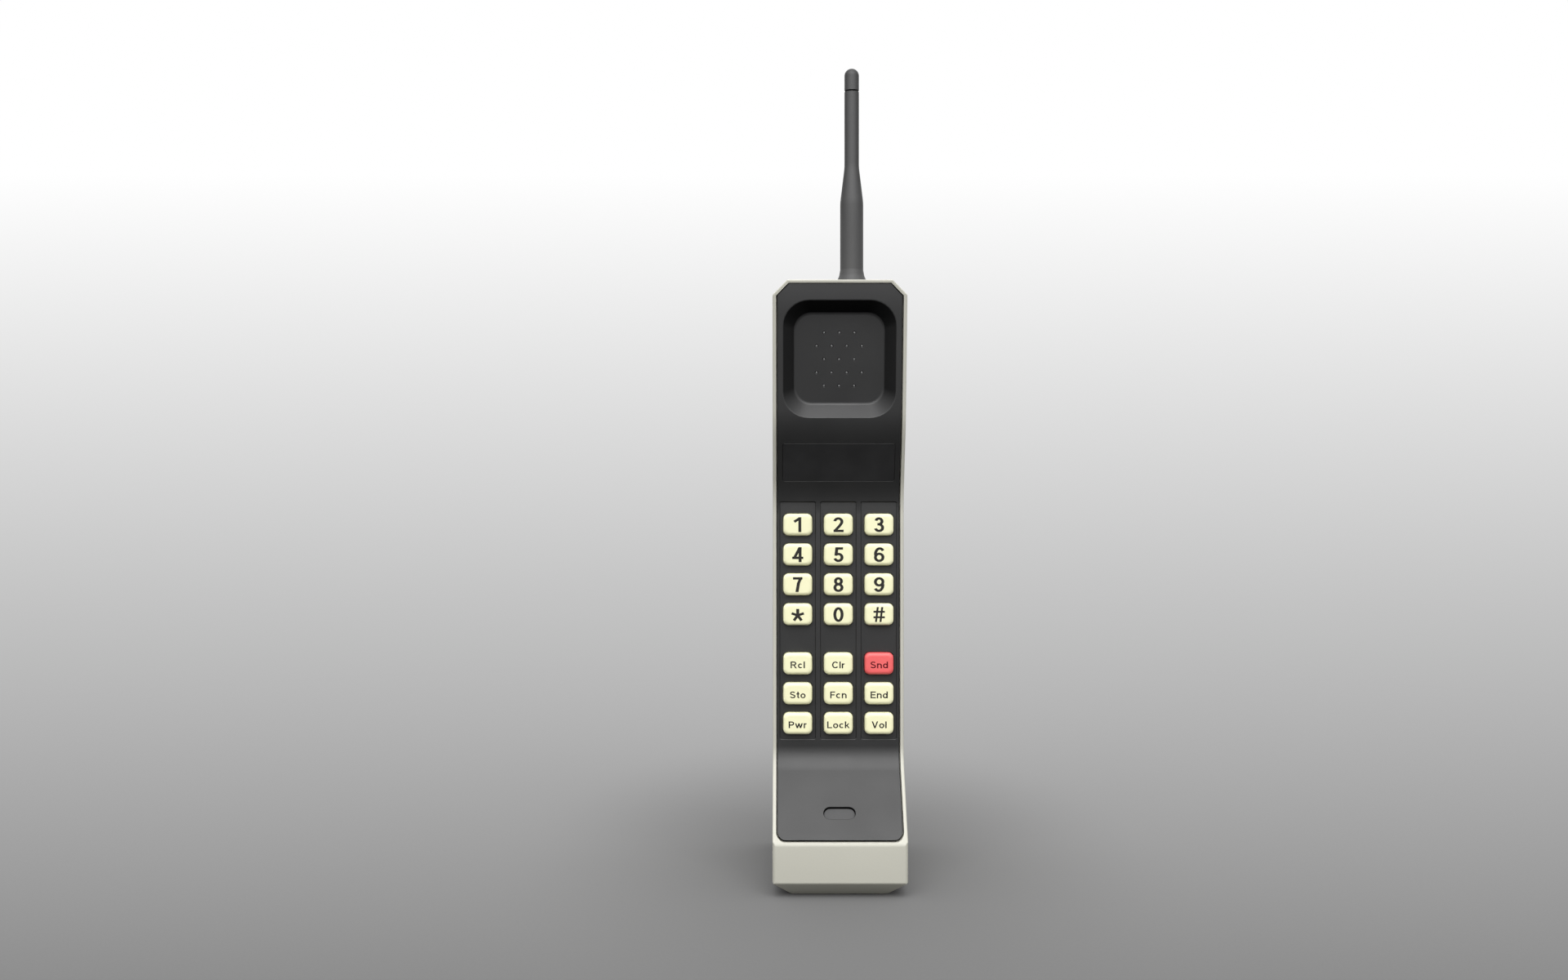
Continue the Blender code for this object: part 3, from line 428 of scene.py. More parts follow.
class Graph:
    """A new material's node tree, built with short calls."""

    def __init__(self, tree):
        self.tree = tree
        tree.nodes.clear()

    def add(self, kind, inputs=None, **settings):
        node = self.tree.nodes.new(kind)
        for key, value in settings.items():
            setattr(node, key, value)
        for key, value in (inputs or {}).items():
            self.feed(node.inputs[key], value)
        return node

    def feed(self, socket, value):
        if isinstance(value, bpy.types.NodeSocket):
            self.tree.links.new(value, socket)
        else:
            socket.default_value = value

    def math(self, operation, a, b=0.0, clamp=False):
        return self.add("ShaderNodeMath", {0: a, 1: b}, operation=operation, use_clamp=clamp).outputs[0]

    def mix(self, factor, a, b):
        """Mixes two colours."""
        node = self.add("ShaderNodeMix", data_type="RGBA")
        for key, value in ((0, factor), (6, a), (7, b)):
            self.feed(node.inputs[key], (*value, 1.0) if isinstance(value, tuple) else value)
        return node.outputs[2]

    def places(self):
        return self.add("ShaderNodeTexCoord").outputs["Object"]

    def split(self, vector):
        """The three parts of a vector, by name."""
        return self.add("ShaderNodeSeparateXYZ", {"Vector": vector}).outputs

    def spread(self, value, low, high, start=0.0, end=1.0):
        """Maps start..end of a value onto low..high."""
        inputs = {"Value": value, "From Min": start, "From Max": end, "To Min": low, "To Max": high}
        return self.add("ShaderNodeMapRange", inputs).outputs[0]

    def noise(self, size, detail=3.0, stretch=(1.0, 1.0, 1.0)):
        """Noise whose features are about size millimetres, stretched along the axes."""
        scale = tuple(1.0 / (size * MM * s) for s in stretch)
        placed = self.add("ShaderNodeMapping", {"Vector": self.places(), "Scale": scale}).outputs[0]
        inputs = {"Vector": placed, "Scale": 1.0, "Detail": detail}
        return self.add("ShaderNodeTexNoise", inputs).outputs["Fac"]

    def tones(self, noise, colour, dark, light):
        """Runs between two tints of a colour with a noise."""
        share = self.spread(noise, 0.0, 1.0, *NOISE_RANGE)
        return self.mix(share, tinted(colour, dark), tinted(colour, light))

    def cells(self, size):
        inputs = {"Vector": self.places(), "Scale": 1.0 / (size * MM)}
        return self.add("ShaderNodeTexVoronoi", inputs).outputs["Distance"]

    def bump(self, height, relief, strength=1.0, below=None):
        inputs = {"Height": height, "Distance": relief * MM, "Strength": strength}
        if below:
            inputs["Normal"] = below
        return self.add("ShaderNodeBump", inputs).outputs[0]

    def surface(self, **inputs):
        named = {key.replace("_", " ").title().replace("Ior", "IOR"): v for key, v in inputs.items()}
        shader = self.add("ShaderNodeBsdfPrincipled", named)
        self.add("ShaderNodeOutputMaterial", {"Surface": shader.outputs[0]})


def new_material(name):
    made = bpy.data.materials.new(name)
    made.use_nodes = True
    return made, Graph(made.node_tree)


DARKEST = 0.1  # the share of its colour that a surface keeps where shade is painted on it


def tinted(colour, share):
    return tuple(min(1.0, c * share) for c in colour)


def moulded(name, colour, roughness, grain, relief, *, mottle=0.03, speck=0.07, wear=0.0, worn=1.1,
            fall=0.0, shine=0.5, painted_wall_shade=0.0, painted_shading=()):
    """Moulded plastic or rubber: a spark-eroded grain, faint mottling, uneven gloss and worn edges.

    mottle and speck are how much its tone varies in patches and from grain to grain, and wear and worn how
    far and to what tone its edges are rubbed. fall paints shade on it where it turns away from the view,
    painted_wall_shade paints shade on walls that run inwards and face sideways or down, and each of
    painted_shading (start, end, share) paints light (share above 1) and shade (share below 1) on it over a
    stretch of height.
    """
    made, g = new_material(name)
    patches = g.noise(16.0, 4.0)
    grains = g.noise(grain, 2.0)
    pits = g.cells(grain * 1.6)
    base = g.tones(patches, colour, 1 - mottle, 1 + mottle)
    specks = g.spread(grains, 0.0, 0.7, 0.38, 0.62)
    base = g.mix(specks, base, tinted(colour, 1 - speck))
    edge = g.add("ShaderNodeAttribute", attribute_name="edge").outputs["Fac"]
    rubbed = g.math("MULTIPLY", edge, g.spread(g.noise(3.0, 5.0), 0.0, 1.0, 0.45, 0.7), True)
    base = g.mix(g.math("MULTIPLY", rubbed, wear), base, tinted(colour, worn))
    # painted shade: the tone darkens where the surface turns away from the view
    if fall:
        turned_away = g.add("ShaderNodeLayerWeight", {"Blend": 0.5}).outputs["Facing"]
        base = g.mix(g.spread(turned_away, 0.0, fall, 0.0, 0.4), base, tinted(colour, DARKEST))
    here = g.add("ShaderNodeNewGeometry").outputs
    # painted light and shade: the tone changes over stretches of height
    for low, high, share in painted_shading:
        height = g.split(here["Position"])["Z"]
        base = g.mix(g.spread(height, 0.0, 0.75, low * MM, high * MM), base, tinted(colour, share))
    # painted shade: walls that run inwards and face sideways or down are darkened and lose gloss
    if painted_wall_shade:
        facing = g.split(here["Normal"])
        inwards = g.spread(g.math("ABSOLUTE", facing["Y"]), painted_wall_shade, 0.0, 0.6, 0.85)
        under = g.spread(facing["Z"], 1.0, 0.0, -0.3, 0.6)
        hidden = g.math("MULTIPLY", inwards, under)
        base = g.mix(hidden, base, tinted(colour, DARKEST))
        shine = g.math("MULTIPLY", g.math("SUBTRACT", 1.0, hidden), shine)
    gloss = g.spread(patches, roughness - 0.04, roughness + 0.04, *NOISE_RANGE)
    gloss = g.math("SUBTRACT", gloss, g.math("MULTIPLY", rubbed, 0.12), True)
    normal = g.bump(pits, relief, 0.5, g.bump(grains, relief))
    g.surface(base_color=base, roughness=gloss, normal=normal, specular_ior_level=shine)
    return made


def metal(name, colour, roughness, stretch=(1.0, 1.0, 1.0), grain=0.5, relief=0.01):
    """Plated or turned metal, with fine tool marks along its stretch and a dull bloom in patches."""
    made, g = new_material(name)
    marks = g.noise(grain, 4.0, stretch)
    bloom = g.noise(6.0, 5.0)
    base = g.mix(g.spread(bloom, 0.0, 0.6, 0.35, 0.75), tinted(colour, 1.05), tinted(colour, 0.72))
    base = g.mix(g.spread(marks, 0.0, 0.3, *NOISE_RANGE), base, tinted(colour, 0.85))
    gloss = g.spread(bloom, roughness - 0.06, roughness + 0.14, *NOISE_RANGE)
    g.surface(base_color=base, metallic=1.0, roughness=gloss, normal=g.bump(marks, relief))
    return made


def woven(name, colour, pitch, relief):
    """Acoustic cloth: warp and weft threads with open gaps between them."""
    made, g = new_material(name)
    here, turns = g.split(g.places()), 2 * math.pi / (pitch * MM)
    warp, weft = (g.math("SINE", g.math("MULTIPLY", here[axis], turns)) for axis in "XZ")
    threads = g.math("ADD", g.math("ABSOLUTE", warp), g.math("ABSOLUTE", weft))
    base = g.mix(g.spread(threads, 0.0, 1.0, 0.3, 1.3), tinted(colour, 0.45), tinted(colour, 1.1))
    base = g.mix(g.math("MULTIPLY", g.noise(0.3), 0.3), base, tinted(colour, 0.8))
    g.surface(base_color=base, roughness=0.9, normal=g.bump(threads, relief))
    return made


def board_look(name, colour, ink):
    """Lacquered board with a maze of copper tracks under the lacquer and pale via dots."""
    made, g = new_material(name)
    laid = {"Vector": g.places(), "Rotation": (math.pi / 2, 0, 0)}
    turned_up = g.add("ShaderNodeMapping", laid).outputs[0]
    bricks = g.add(
        "ShaderNodeTexBrick",
        {"Vector": turned_up, "Scale": 300.0, "Mortar Size": 0.06, "Brick Width": 1.3, "Row Height": 0.4},
    )
    tracks = g.math("SUBTRACT", 1.0, bricks.outputs["Fac"])
    base = g.mix(tracks, tinted(colour, 0.8), tinted(colour, 1.5))
    vias = g.spread(g.cells(2.4), 1.0, 0.0, 0.12, 0.15)
    base = g.mix(vias, base, ink)
    g.surface(base_color=base, roughness=0.35, normal=g.bump(tracks, 0.02), coat_weight=0.4)
    return made


def glossy(name, colour, lines, relief, gloss, patch, **more):
    """A smooth coloured skin, with fine lines (size, detail, stretch) that change its gloss."""
    made, g = new_material(name)
    marks = g.noise(*lines)
    base = g.tones(g.noise(patch), colour, 0.85, 1.15)
    rough = g.spread(marks, *gloss, 0.4, 0.7)
    g.surface(base_color=base, roughness=rough, normal=g.bump(marks, relief), **more)
    return made


# painted shade: the shell's tone darkens towards its foot
shell_look = moulded(
    "shell_plastic", (0.415, 0.408, 0.354), 0.48, 0.4, 0.012, mottle=0.012, speck=0.03, wear=0.5, worn=1.06,
    painted_shading=[(18.0, 7.0, 0.87)],
)
# painted shade on the walls of its hollows, and painted light that lightens the panel towards its top
fascia_look = moulded(
    "fascia_plastic", (0.013, 0.013, 0.0132), 0.43, 0.2, 0.011, mottle=0.05, speck=0.3, wear=0.6, worn=1.5,
    painted_wall_shade=0.9, painted_shading=[(148.0, 158.0, 1.65), (192.0, 202.0, 3.5)],
)
cream_look = moulded(
    "key_cream", (0.745, 0.73, 0.48), 0.42, 0.25, 0.006, mottle=0.01, speck=0.02, wear=0.3, worn=1.04
)
red_look = moulded(
    "key_red", (0.71, 0.105, 0.105), 0.42, 0.25, 0.006, mottle=0.02, speck=0.04, wear=0.3, worn=1.2
)
ink_look = moulded("legend_ink", (0.018, 0.016, 0.014), 0.7, 0.2, 0.004, mottle=0.05, shine=0.25)
red_ink_look = moulded("legend_ink_on_red", (0.1, 0.003, 0.007), 0.7, 0.2, 0.004, mottle=0.05, shine=0.2)
# painted shade where the rubber turns away from the view and towards the whip's foot
rubber_look = moulded(
    "black_rubber", (0.06, 0.06, 0.061), 0.6, 0.3, 0.03, mottle=0.06, speck=0.12, wear=0.4, worn=1.3,
    fall=0.8, painted_shading=[(244.0, 226.0, 0.66)],
)
mat_look = moulded("silicone_mat", (0.3, 0.3, 0.31), 0.65, 0.5, 0.01, mottle=0.04)
ribbon_look = moulded("ribbon_jacket", (0.55, 0.55, 0.58), 0.45, 0.8, 0.01)
cloth_look = woven("screen_cloth", (0.072, 0.072, 0.073), 0.25, 0.02)
ear_cloth_look = woven("earpiece_cloth", (0.2, 0.2, 0.202), 0.25, 0.02)
# Polished smoked acrylic with hairlines, and the creased shrink sleeve of a cell.
hairs, creases = (0.6, 5.0, (6.0, 1.0, 1.0)), (2.2, 4.0, (1.0, 1.0, 5.0))
lens_look = glossy("smoked_window", (0.017, 0.017, 0.0175), hairs, 0.0015, (0.1, 0.22), 9.0, ior=1.49)
cell_look = glossy("cell_sleeve", (0.07, 0.2, 0.42), creases, 0.05, (0.35, 0.35), 7.0, coat_weight=0.3)
circuit_look = board_look("circuit_board", (0.03, 0.16, 0.07), (0.75, 0.74, 0.68))
tin_look = metal("tinned_steel", (0.66, 0.66, 0.64), 0.34, (1.0, 1.0, 8.0))
steel_look = metal("zinc_steel", (0.52, 0.52, 0.53), 0.32)
chassis_look = metal("passivated_sheet", (0.58, 0.57, 0.5), 0.38, (1.0, 1.0, 12.0))
filter_look = metal("plated_block", (0.6, 0.58, 0.52), 0.36, (8.0, 1.0, 1.0))
brass_look = metal("turned_brass", (0.66, 0.5, 0.22), 0.3, (12.0, 12.0, 0.4), 0.3)
gold_look = metal("gold_contact", (0.83, 0.63, 0.26), 0.22)
copper_look = metal("enamelled_copper", (0.72, 0.33, 0.17), 0.3)


# ---- the shell
SCREWS = [f"screw_{row}_{side}" for row in ("bottom", "top") for side in ("left", "right")]


def make_shell():
    """The pale shell: sides, top, foot and plinth in one moulding, its outer edges rounded."""
    outer = [
        *bent([*RIM_LINE, (FRONT, FOOT_CHAMFER_UP)], [*RIM_BENDS[:-1], BROW_BEND, 0.0]),
        (FRONT + FOOT_CHAMFER_OUT, 0),
        (BACK - FOOT_CHAMFER_OUT, 0),
        (BACK, FOOT_CHAMFER_UP),
        (BACK, PLINTH_TOP),
        (PLATE_BACK, PLINTH_TOP),
        (PLATE_BACK, HEIGHT),
    ]
    shell = place("shell", along_x(outer, -HALF - 1, HALF + 1))
    cut(shell, "INTERSECT", along_y(silhouette(0), -60, 60))
    brow = [z for y, z in outer if FRONT <= y < FRONT + 2 and z > FOOT_CHAMFER_UP]

    def rounding(spot, angle):
        if angle < 20:
            return 0.0
        if abs(spot.x) < HALF - CLEAR or spot.y > FRONT + 2 or spot.z < FOOT_CHAMFER_UP:
            return SHELL_EASE / BASE_EASE
        climb = (spot.z - min(brow)) / (max(brow) - min(brow))
        return 1.0 + (SHELL_EASE / BASE_EASE - 1.0) * min(max(climb, 0.0), 1.0)

    ease(shell, BASE_EASE, 5, rounding)

    beyond = 20.0
    front_wall, back_wall, floor_wall = WALL + 0.1, WALL + 0.2, WALL + 0.1
    chamfer_up, chamfer_out = FOOT_CHAMFER_UP + 0.8, FOOT_CHAMFER_OUT + 0.9
    inside = [
        (FRONT - beyond, HEIGHT - WALL),
        (FRONT - beyond, LEDGE_TOP),
        (FRONT + LEDGE_DEEP, LEDGE_TOP),
        (FRONT + front_wall, LEDGE_TOP - (LEDGE_DEEP - WALL) / LEDGE_SLOPE),
        (FRONT + front_wall, chamfer_up),
        (FRONT + chamfer_out, floor_wall),
        (BACK - chamfer_out, floor_wall),
        (BACK - back_wall, chamfer_up),
        (BACK - back_wall, PLINTH_TOP - WALL),
        (PLATE_FRONT, PLINTH_TOP - WALL),
        (PLATE_FRONT, OPENING_FOOT),
        (PLATE_BACK + beyond, OPENING_FOOT),
        (PLATE_BACK + beyond, HEIGHT - WALL),
    ]
    hollow = place("hollow", along_x(inside, -INNER - 1, INNER + 1))
    cut(hollow, "INTERSECT", along_y(silhouette(WALL, HEIGHT - WALL + CLEAR, 0.8), -80, 60))
    carve(shell, hollow)

    seat_line = front_line(PANEL_SUNK + PANEL_THICK + GAP, HEIGHT + 5, 10.0)
    outline = [*seat_line, (FRONT - beyond, 10.0), (FRONT - beyond, HEIGHT + 5)]
    seat = place("seat", along_x(outline, -HALF, HALF))
    around = silhouette(RIM_WALL, HEIGHT - 1.0, PANEL_FOOT - 0.6, SEAT_CORNER)
    cut(seat, "INTERSECT", along_y(around, -80, 60))
    carve(shell, seat)

    screws = [middle(name) for name in SCREWS]
    posts = [rod_y(POST_R, 0.0, PLATE_FRONT - GAP, (c.x, c.z)) for c in screws]
    cut(shell, "UNION", merged(posts))
    whip = middle("antenna_sheath")
    holes = [rod_y(PILOT_R, 1.5, PLATE_FRONT + 1, (c.x, c.z)) for c in screws]
    holes.append(turned(cylinder(WHIP_HOLE_R, HEIGHT - 8, HEIGHT + 7), 32, (whip.x, whip.y)))
    socket = middle("accessory_socket")
    outlet = [(x, z + socket.z - 0.2) for x, z in rounded_rect(*OUTLET)]
    holes.append(along_y(outlet, 38, 60))
    carve(shell, merged(holes))
    dress(shell, shell_look, "casing", "phone", "casing")


# ---- the fascia
def ear_holes():
    """The middles of the earpiece's holes, in rows across the bowl's floor."""
    for row, count in enumerate(EAR_HOLE_ROWS):
        y = ((len(EAR_HOLE_ROWS) - 1) / 2 - row) * EAR_HOLE_RISE - EAR_HOLE_DROP
        for k in range(count):
            yield (k - (count - 1) / 2) * EAR_HOLE_PITCH, y


def bowl_levels(grow=0.0):
    """The earpiece bowl as rounded rectangles: a rounded lip, a sloping wall and a filleted floor."""
    wall = [(-6, 0), (0, 0), (EAR_IN_X, -EAR_DEEP), (EAR_IN_X + 6, -EAR_DEEP)]
    run = bent(wall, [0, BOWL_LIP, BOWL_FILLET, 0], 8)[1:-1]
    levels = []
    for inset, height in reversed(run):
        tall = EAR_TALL - 2 * inset * EAR_IN_Y / EAR_IN_X + grow
        corner = EAR_CORNER - 0.82 * inset + grow / 2
        levels.append([EAR_WIDE - 2 * inset + grow, tall, corner, height - PANEL_SUNK])
    return levels


def make_fascia():
    """The dark fascia with its bowl, window opening, key channels, key holes and slot."""
    face = front_line(PANEL_SUNK, HEIGHT + 4, 12.0)
    behind = front_line(PANEL_SUNK + PANEL_THICK, HEIGHT + 4, 12.0)
    fascia = place("fascia", along_x([*face, *reversed(behind)], -HALF, HALF))
    outline = silhouette(HALF - PANEL_HALF, PANEL_TOP + 0.15, PANEL_FOOT, PANEL_CORNER)
    cut(fascia, "INTERSECT", along_y(outline, -80, 60))
    ease(fascia, 0.3, 3, corners_over(30))

    outer = bowl_levels(2 * BOWL_WALL)
    outer = [(w, t - BOWL_TRIM, c, h - BOWL_WALL) for w, t, c, h in (outer[0], outer[len(outer) // 2])]
    size = (EAR_WIDE + 2 * BOWL_WALL, EAR_TALL + 2 * BOWL_WALL - BOWL_TRIM, EAR_CORNER + BOWL_WALL)
    outer.append((*size, -PANEL_SUNK - 1.0))
    cut(fascia, "UNION", pads(outer), ear_frame)
    levels = bowl_levels()
    *mouth, height = levels[-1]
    levels[-1:] = [(*mouth, height + 0.004), (*mouth, height + 6)]
    loops = []
    for wide, tall, corner, h in levels:
        drop = EAR_FLOOR_DROP * min(max((h + PANEL_SUNK) / -EAR_DEEP, 0.0), 1.0)
        loops.append([(x, y - drop, h) for x, y in rounded_rect(wide, tall, corner)])
    carve(fascia, loft(loops), ear_frame)
    floor = -PANEL_SUNK - EAR_DEEP
    seat, reach = floor - MESH_SUNK + 0.1, MESH_R + GAP
    carve(fascia, turned(cylinder(reach, seat - 6, seat), 48), ear_frame)
    rim = EAR_HOLE_R + 0.14
    drill = [(0, floor - 3), (EAR_HOLE_R, floor - 3), (EAR_HOLE_R, floor - 0.12)]
    drill += [(rim, floor + 0.02), (rim, floor + 2), (0, floor + 2)]
    carve(fascia, merged([turned(drill, 16, c) for c in ear_holes()]), ear_frame)

    ledge = (WINDOW_WIDE - 2 * WINDOW_LEDGE, WINDOW_TALL - 2 * WINDOW_LEDGE, LENS_CORNER)
    mouth = (WINDOW_WIDE + LENS_PLAY, WINDOW_TALL + LENS_PLAY, LENS_CORNER + 0.2)
    step = -PANEL_SUNK - WINDOW_THICK - 0.2
    carve(fascia, pads([(*ledge, -6.0), (*ledge, step + 0.5)]), window_frame)
    carve(fascia, flared(*mouth, step, -PANEL_SUNK, 0.1), window_frame)
    slot = flared(MIC_WIDE, MIC_TALL, MIC_TALL / 2 - CLEAR, -5.0, -PANEL_SUNK, 0.2)
    carve(fascia, slot, chin_frame)

    face_y = KEYPAD_TOP[0] + PANEL_SUNK
    columns = [middle(name).x for name in ("key_1", "key_2", "key_3")]
    mouth = (CHANNEL_WIDE, CHANNEL_TOP - CHANNEL_FOOT, CHANNEL_CORNER)
    points, faces = flared(*mouth, -CHANNEL_DEEP, 0.0, CHANNEL_LIP)
    centre = (CHANNEL_TOP + CHANNEL_FOOT) / 2
    channel = [(x, face_y - h, y + centre) for x, y, h in points], faces
    carve(fascia, merged([moved(channel, (x, 0, 0)) for x in columns]))
    opening = rounded_rect(KEY_WIDE + 2 * KEY_PLAY, KEY_TALL + 2 * KEY_PLAY, KEY_CORNER + KEY_PLAY)
    spots = [middle(name) for name in KEYS]
    holes = [along_y([(x + c.x, z + c.z) for x, z in opening], face_y - 8, face_y + 6) for c in spots]
    carve(fascia, merged(holes))
    dress(fascia, fascia_look, "front_panel", "phone", "front_panel")


# ---- keys and their legends
# A glyph is its width and its strokes, in cap heights. A bar has square ends, a slant has level ends,
# an arc is (centre, radii, first and last angle in degrees).
def bar(x0, y0, x1, y1):
    return "bar", (x0, y0), (x1, y1)


def flat(x0, x1, y):
    return bar(x0, y, x1, y)


def slant(x0, y0, x1, y1):
    return "slant", (x0, y0), (x1, y1)


def arc(x, y, rx, ry, first=0, last=360):
    return "arc", (x, y), (rx, ry), (first, last)


def spoke(x, y, reach, degrees):
    angle = math.radians(degrees)
    return bar(x, y, x + reach * math.cos(angle), y + reach * math.sin(angle))


STEM, SHORT_STEM = bar(0.1, 0, 0.1, 1), bar(0.1, 0, 0.1, 0.72)
GLYPHS = {
    "0": (0.70, [arc(0.35, 0.50, 0.242, 0.415)]),
    "1": (0.49, [bar(0.385, 0, 0.385, 1), bar(0.01, 0.69, 0.34, 0.90)]),
    "2": (0.70, [arc(0.345, 0.70, 0.235, 0.215, -32, 172), bar(0.57, 0.62, 0.38, 0.36),
                 bar(0.44, 0.43, 0.12, 0.10), flat(0.02, 0.70, 0.085)]),
    "3": (0.70, [arc(0.335, 0.7275, 0.20, 0.1875, -90, 168), arc(0.34, 0.30, 0.24, 0.215, -166, 90),
                 flat(0.23, 0.36, 0.528)]),
    "4": (0.745, [bar(0.53, 0, 0.53, 1), flat(0, 0.745, 0.285), slant(0.11, 0.21, 0.53, 1)]),
    "5": (0.70, [flat(0.16, 0.655, 0.915), slant(0.245, 0.97, 0.185, 0.43),
                 arc(0.345, 0.315, 0.242, 0.23, -163, 140)]),
    "6": (0.72, [arc(0.36, 0.32, 0.252, 0.235), arc(0.40, 0.50, 0.292, 0.415, 40, 184)]),
    "7": (0.63, [flat(0, 0.63, 0.915), slant(0.52, 0.93, 0.36, 0.58), slant(0.37, 0.60, 0.265, 0.0)]),
    "8": (0.69, [arc(0.345, 0.725, 0.20, 0.19), arc(0.345, 0.30, 0.237, 0.215)]),
    "9": (0.72, [arc(0.36, 0.68, 0.252, 0.235), arc(0.32, 0.50, 0.292, 0.415, 220, 364)]),
    "*": (0.86, [spoke(0.43, 0.42, 0.43, 90 + 72 * k) for k in range(5)]),
    "#": (0.765, [slant(0.17, 0, 0.29, 1), slant(0.47, 0, 0.59, 1), flat(0, 0.765, 0.315),
                  flat(0, 0.765, 0.685)]),
    "R": (0.92, [STEM, flat(0.1, 0.5, 0.917), arc(0.49, 0.71, 0.25, 0.207, -92, 92),
                 flat(0.1, 0.5, 0.503), slant(0.50, 0.45, 0.80, 0)]),
    "P": (0.79, [STEM, flat(0.1, 0.46, 0.917), arc(0.45, 0.69, 0.24, 0.227, -92, 92),
                 flat(0.1, 0.46, 0.463)]),
    "E": (0.76, [STEM, flat(0.1, 0.74, 0.917), flat(0.1, 0.69, 0.51), flat(0.1, 0.76, 0.083)]),
    "F": (0.70, [STEM, flat(0.1, 0.70, 0.917), flat(0.1, 0.62, 0.50)]),
    "L": (0.70, [STEM, flat(0.1, 0.70, 0.083)]),
    "S": (0.82, [arc(0.41, 0.73, 0.28, 0.187, 18, 272), arc(0.41, 0.29, 0.31, 0.207, -166, 92),
                 bar(0.36, 0.56, 0.46, 0.48)]),
    "C": (0.92, [arc(0.47, 0.50, 0.37, 0.417, 38, 322)]),
    "V": (0.93, [slant(0.11, 1, 0.465, 0), slant(0.82, 1, 0.465, 0)]),
    "l": (0.20, [STEM]),
    "c": (0.68, [arc(0.36, 0.36, 0.26, 0.277, 48, 312)]),
    "r": (0.45, [SHORT_STEM, arc(0.34, 0.42, 0.24, 0.217, 72, 180)]),
    "n": (0.71, [SHORT_STEM, arc(0.355, 0.42, 0.255, 0.217, 0, 180), bar(0.61, 0, 0.61, 0.43)]),
    "d": (0.73, [arc(0.36, 0.36, 0.26, 0.277), bar(0.63, 0, 0.63, 1)]),
    "t": (0.43, [bar(0.22, 0.18, 0.22, 0.95), flat(0, 0.42, 0.637),
                 arc(0.37, 0.2, 0.15, 0.117, 180, 290)]),
    "o": (0.75, [arc(0.375, 0.36, 0.275, 0.277)]),
    "w": (1.09, [slant(0.09, 0.72, 0.32, 0), slant(0.32, 0, 0.545, 0.72), slant(0.545, 0.72, 0.77, 0),
                 slant(0.77, 0, 1.0, 0.72)]),
    "k": (0.70, [STEM, slant(0.17, 0.28, 0.56, 0.72), slant(0.28, 0.42, 0.60, 0)]),
}
DIGIT_TALL, WORD_TALL, WORD_WIDE = 5.06, 2.3, 2.38
DIGIT_PEN, SIGN_PEN, WORD_PEN = (0.2, 0.16), (0.13, 0.13), (0.19, 0.16)  # across, and up, in cap heights
LETTER_SPACE = 0.13
WORD_DROP = 0.37  # how far the words sit below the middle of their keys
STAR_DROP = 0.28
INK_PROUD, INK_DEEP = 0.02, 0.12


def stroke_shape(stroke, pen):
    """A stroke as a thin solid about y = 0, with x across and z up."""
    kind, *data = stroke
    deep = (-1.0, 1.0)
    if kind == "slant":
        (x0, y0), (x1, y1) = data
        half = pen[0] * 0.52
        outline = [(x0 - half, y0), (x0 + half, y0), (x1 + half, y1), (x1 - half, y1)]
        return along_y(outline, *deep)
    if kind == "bar":
        path = [Vector(data[0]), Vector(data[1])]
        ways = [(path[1] - path[0]).normalized()] * 2
        closed = False
    else:
        (cx, cy), (rx, ry), (first, last) = data
        closed = last - first == 360
        steps = max(6, round((last - first) / 10))
        path, ways = [], []
        for k in range(steps if closed else steps + 1):
            angle = math.radians(first + (last - first) * k / steps)
            path.append(Vector((cx + rx * math.cos(angle), cy + ry * math.sin(angle))))
            ways.append(Vector((-rx * math.sin(angle), ry * math.cos(angle))).normalized())
    loops = []
    for spot, way in zip(path, ways):
        across = Vector((-way.y * pen[0] / 2, way.x * pen[1] / 2))
        a, b = spot + across, spot - across
        loops.append([(p.x, d, p.y) for p, d in ((a, deep[0]), (b, deep[0]), (b, deep[1]), (a, deep[1]))])
    return loft(loops, closed)


def make_legend(node, text):
    """The printed legend of one key, a hair proud of the key's face."""
    word = len(text) > 1
    tall = WORD_TALL if word else DIGIT_TALL
    pen = WORD_PEN if word else SIGN_PEN if text == "#" else DIGIT_PEN
    strokes, reach = [], 0.0
    for letter in text:
        width, parts = GLYPHS[letter]
        strokes += [moved(stroke_shape(part, pen), (reach, 0, 0)) for part in parts]
        reach += width + LETTER_SPACE
    reach -= LETTER_SPACE
    low, high = box(node)
    drop = WORD_DROP if word else STAR_DROP if text == "*" else 0.0
    centre = Vector(((low.x + high.x) / 2, 0, (low.z + high.z) / 2 - drop))
    top, foot = low.y - INK_PROUD, low.y + INK_DEEP
    upright = 0.42 if text == "*" else 0.5

    def fitted(shape):
        points, faces = shape
        spots = []
        for x, y, z in points:
            across = (x - reach / 2) * (WORD_WIDE if word else tall) + centre.x
            spots.append((across, top if y < 0 else foot, (z - upright) * tall + centre.z))
        return spots, faces

    legend = place(node.replace("key_", "legend_"), fitted(strokes[0]))
    if len(strokes) > 1:
        cut(legend, "UNION", merged([fitted(s) for s in strokes[1:]]), own_overlaps=True)
    look = red_ink_look if node == "key_send" else ink_look
    dress(legend, look, None, node.replace("key_", "button_"))


def make_keys():
    """The key caps, all from one mould: straight sides, then an elliptical roll-over to a flat top."""
    hidden = PANEL_THICK + GAP
    flange = (KEY_WIDE + 2 * KEY_FLANGE, KEY_TALL + 2 * KEY_FLANGE, KEY_CORNER + 0.3)
    levels = [(*flange, -hidden - 1.0), (*flange, -hidden), (KEY_WIDE, KEY_TALL, KEY_CORNER, -hidden)]
    for across, down in quarter(8):
        inset = ROLL_IN * across
        size = (KEY_WIDE - 2 * inset, KEY_TALL - 2 * inset, KEY_CORNER - 0.6 * inset)
        levels.append((*size, KEY_PROUD - ROLL_DOWN * down))
    points, faces = pads(levels, 6)
    face_y = KEYPAD_TOP[0] + PANEL_SUNK
    for node, text in KEYS.items():
        spot = middle(node)
        cap = [(x + spot.x, face_y - h, y + spot.z) for x, y, h in points], faces
        red = node == "key_send"
        piece = place(node.replace("key_", "keycap_"), cap)
        body = node.replace("key_", "button_")
        dress(piece, red_look if red else cream_look, "key_red" if red else "key_cream", body, node)
        make_legend(node, text)


